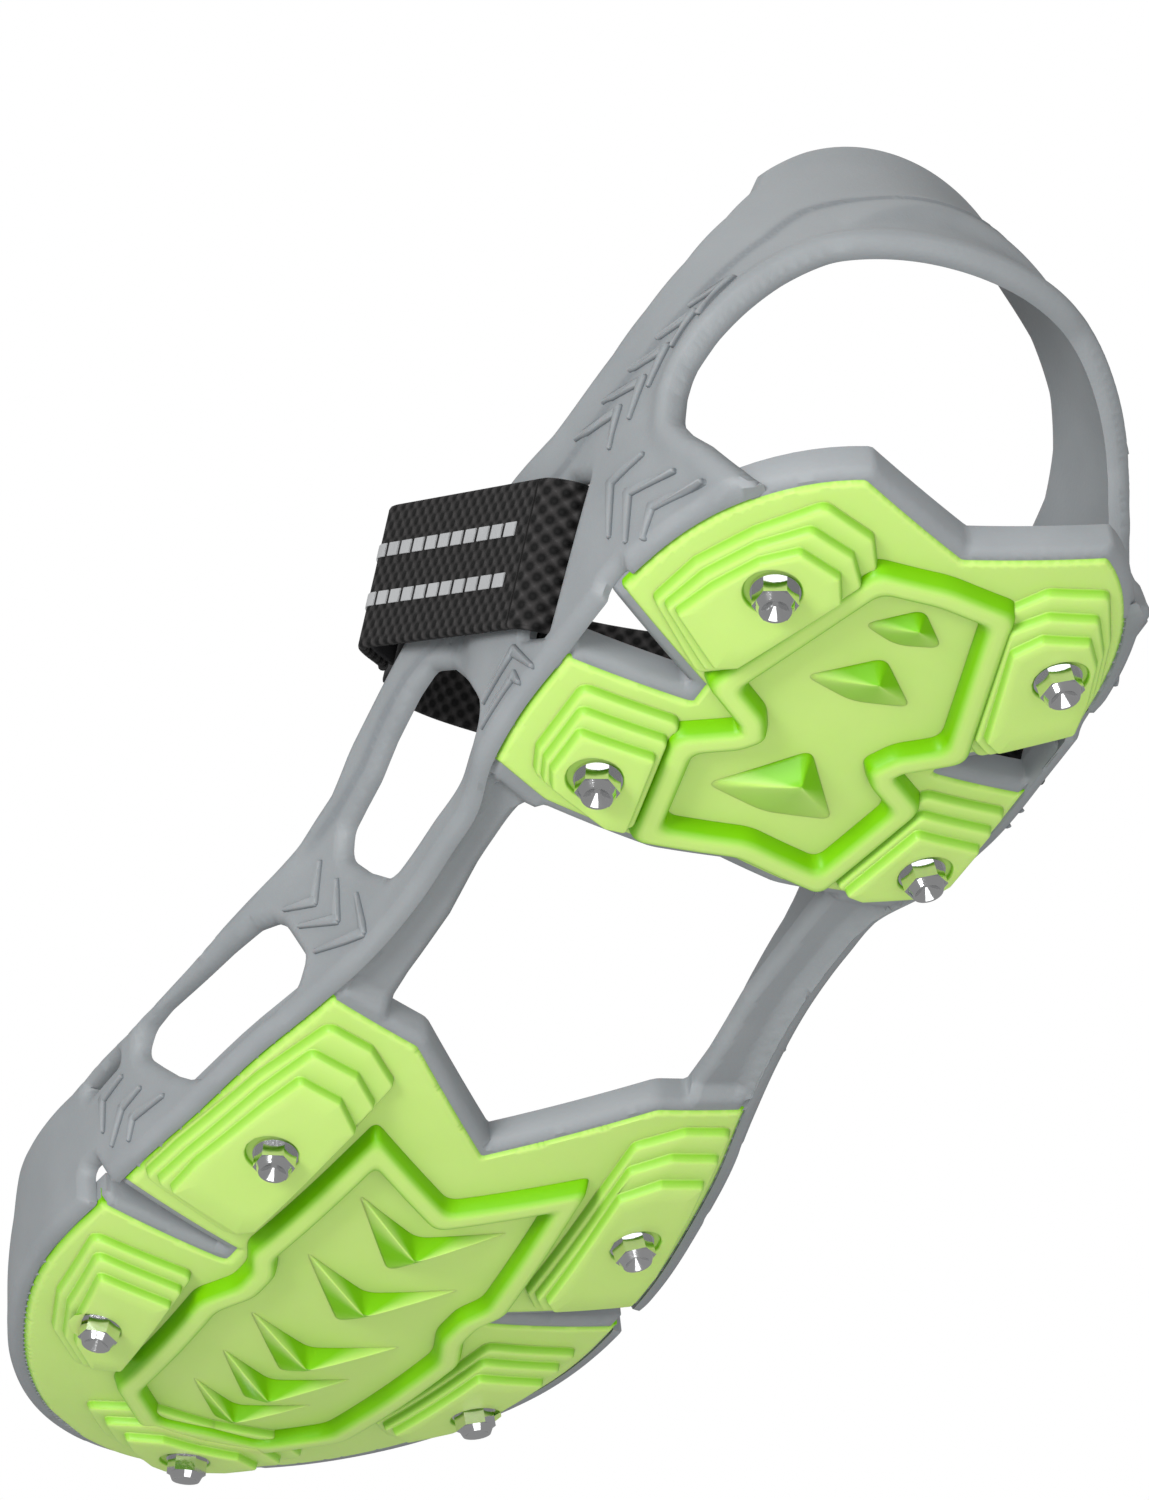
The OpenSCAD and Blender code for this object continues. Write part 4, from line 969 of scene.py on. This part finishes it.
floor_mesh = bpy.data.meshes.new("floor")
floor_mesh.from_pydata([(-4, -4, 0), (4, -4, 0), (4, 4, 0), (-4, 4, 0)], [], [(0, 1, 2, 3)])
floor = bpy.data.objects.new("floor", floor_mesh)
bpy.context.scene.collection.objects.link(floor)
PALE, tree, skin = shader("pale_floor", (0.5, 0.5, 0.5), 0.8, Emission_Strength=0.35)
skin.inputs["Emission Color"].default_value = (1, 1, 1, 1)
clear, facing, path, front, bounces, deep, shown, mixed = (
    tree.nodes.new("ShaderNode" + k)
    for k in ("BsdfTransparent", "NewGeometry", "LightPath", "Math", "Math", "Math", "Math", "MixShader"))
front.operation = deep.operation = "GREATER_THAN"
bounces.operation, shown.operation = "ADD", "MAXIMUM"
deep.inputs[1].default_value = 1.5
for source, target in (
        (path.outputs["Is Camera Ray"], front.inputs[0]), (facing.outputs["Backfacing"], front.inputs[1]),
        (path.outputs["Diffuse Depth"], bounces.inputs[0]), (path.outputs["Is Shadow Ray"], bounces.inputs[1]),
        (bounces.outputs["Value"], deep.inputs[0]), (front.outputs["Value"], shown.inputs[0]),
        (deep.outputs["Value"], shown.inputs[1]), (shown.outputs["Value"], mixed.inputs["Fac"]),
        (clear.outputs["BSDF"], mixed.inputs[1]), (skin.outputs["BSDF"], mixed.inputs[2])):
    tree.links.new(source, target)
tree.links.new(mixed.outputs["Shader"], tree.nodes["Material Output"].inputs["Surface"])
floor_mesh.materials.append(PALE)

world = bpy.data.worlds.new("studio")
bpy.context.scene.world = world
world.use_nodes = True
sky = world.node_tree
sky_light = sky.nodes["Background"]
sky_light.inputs["Color"].default_value = (1, 1, 1, 1)
path, shine, mirrored = (sky.nodes.new("ShaderNode" + k) for k in ("LightPath", "Math", "Math"))
shine.operation = mirrored.operation = "MULTIPLY_ADD"
shine.inputs[1].default_value, shine.inputs[2].default_value = 0.44, 0.56
mirrored.inputs[1].default_value = -0.26
sky.links.new(path.outputs["Is Camera Ray"], shine.inputs[0])
sky.links.new(path.outputs["Is Glossy Ray"], mirrored.inputs[0])
sky.links.new(shine.outputs["Value"], mirrored.inputs[2])
sky.links.new(mirrored.outputs["Value"], sky_light.inputs["Strength"])

for name, at, size, power in (("key", (-0.63, 1.1, -0.28), 0.5, 12), ("fill", (-0.7, 0.2, -0.9), 1.0, 6),
                              ("top", (-0.2, 0.1, 1.4), 1.2, 4)):
    lamp = bpy.data.lights.new(name, "AREA")
    lamp.size = size
    lamp.energy = power
    made = bpy.data.objects.new(name, lamp)
    bpy.context.scene.collection.objects.link(made)
    made.location = at
    made.rotation_mode = "QUATERNION"
    made.rotation_quaternion = Vector((-at[0], -at[1], 0.03 - at[2])).to_track_quat("-Z", "Y")

lens = bpy.data.cameras.new("camera")
lens.sensor_fit = "VERTICAL"
lens.sensor_height = 24
lens.lens = 93.2
camera = bpy.data.objects.new("camera", lens)
bpy.context.scene.collection.objects.link(camera)
right, down, ahead = (-0.471, -0.878, -0.084), (0.609, -0.255, -0.751), (0.638, -0.405, 0.655)
camera.rotation_mode = "QUATERNION"
camera.rotation_quaternion = Matrix([(r, -q, -a) for r, q, a in zip(right, down, ahead)]).to_quaternion()
camera.location = (-0.67086, 0.41018, -0.59883)
bpy.context.scene.camera = camera
bpy.context.scene.view_settings.view_transform = "Standard"
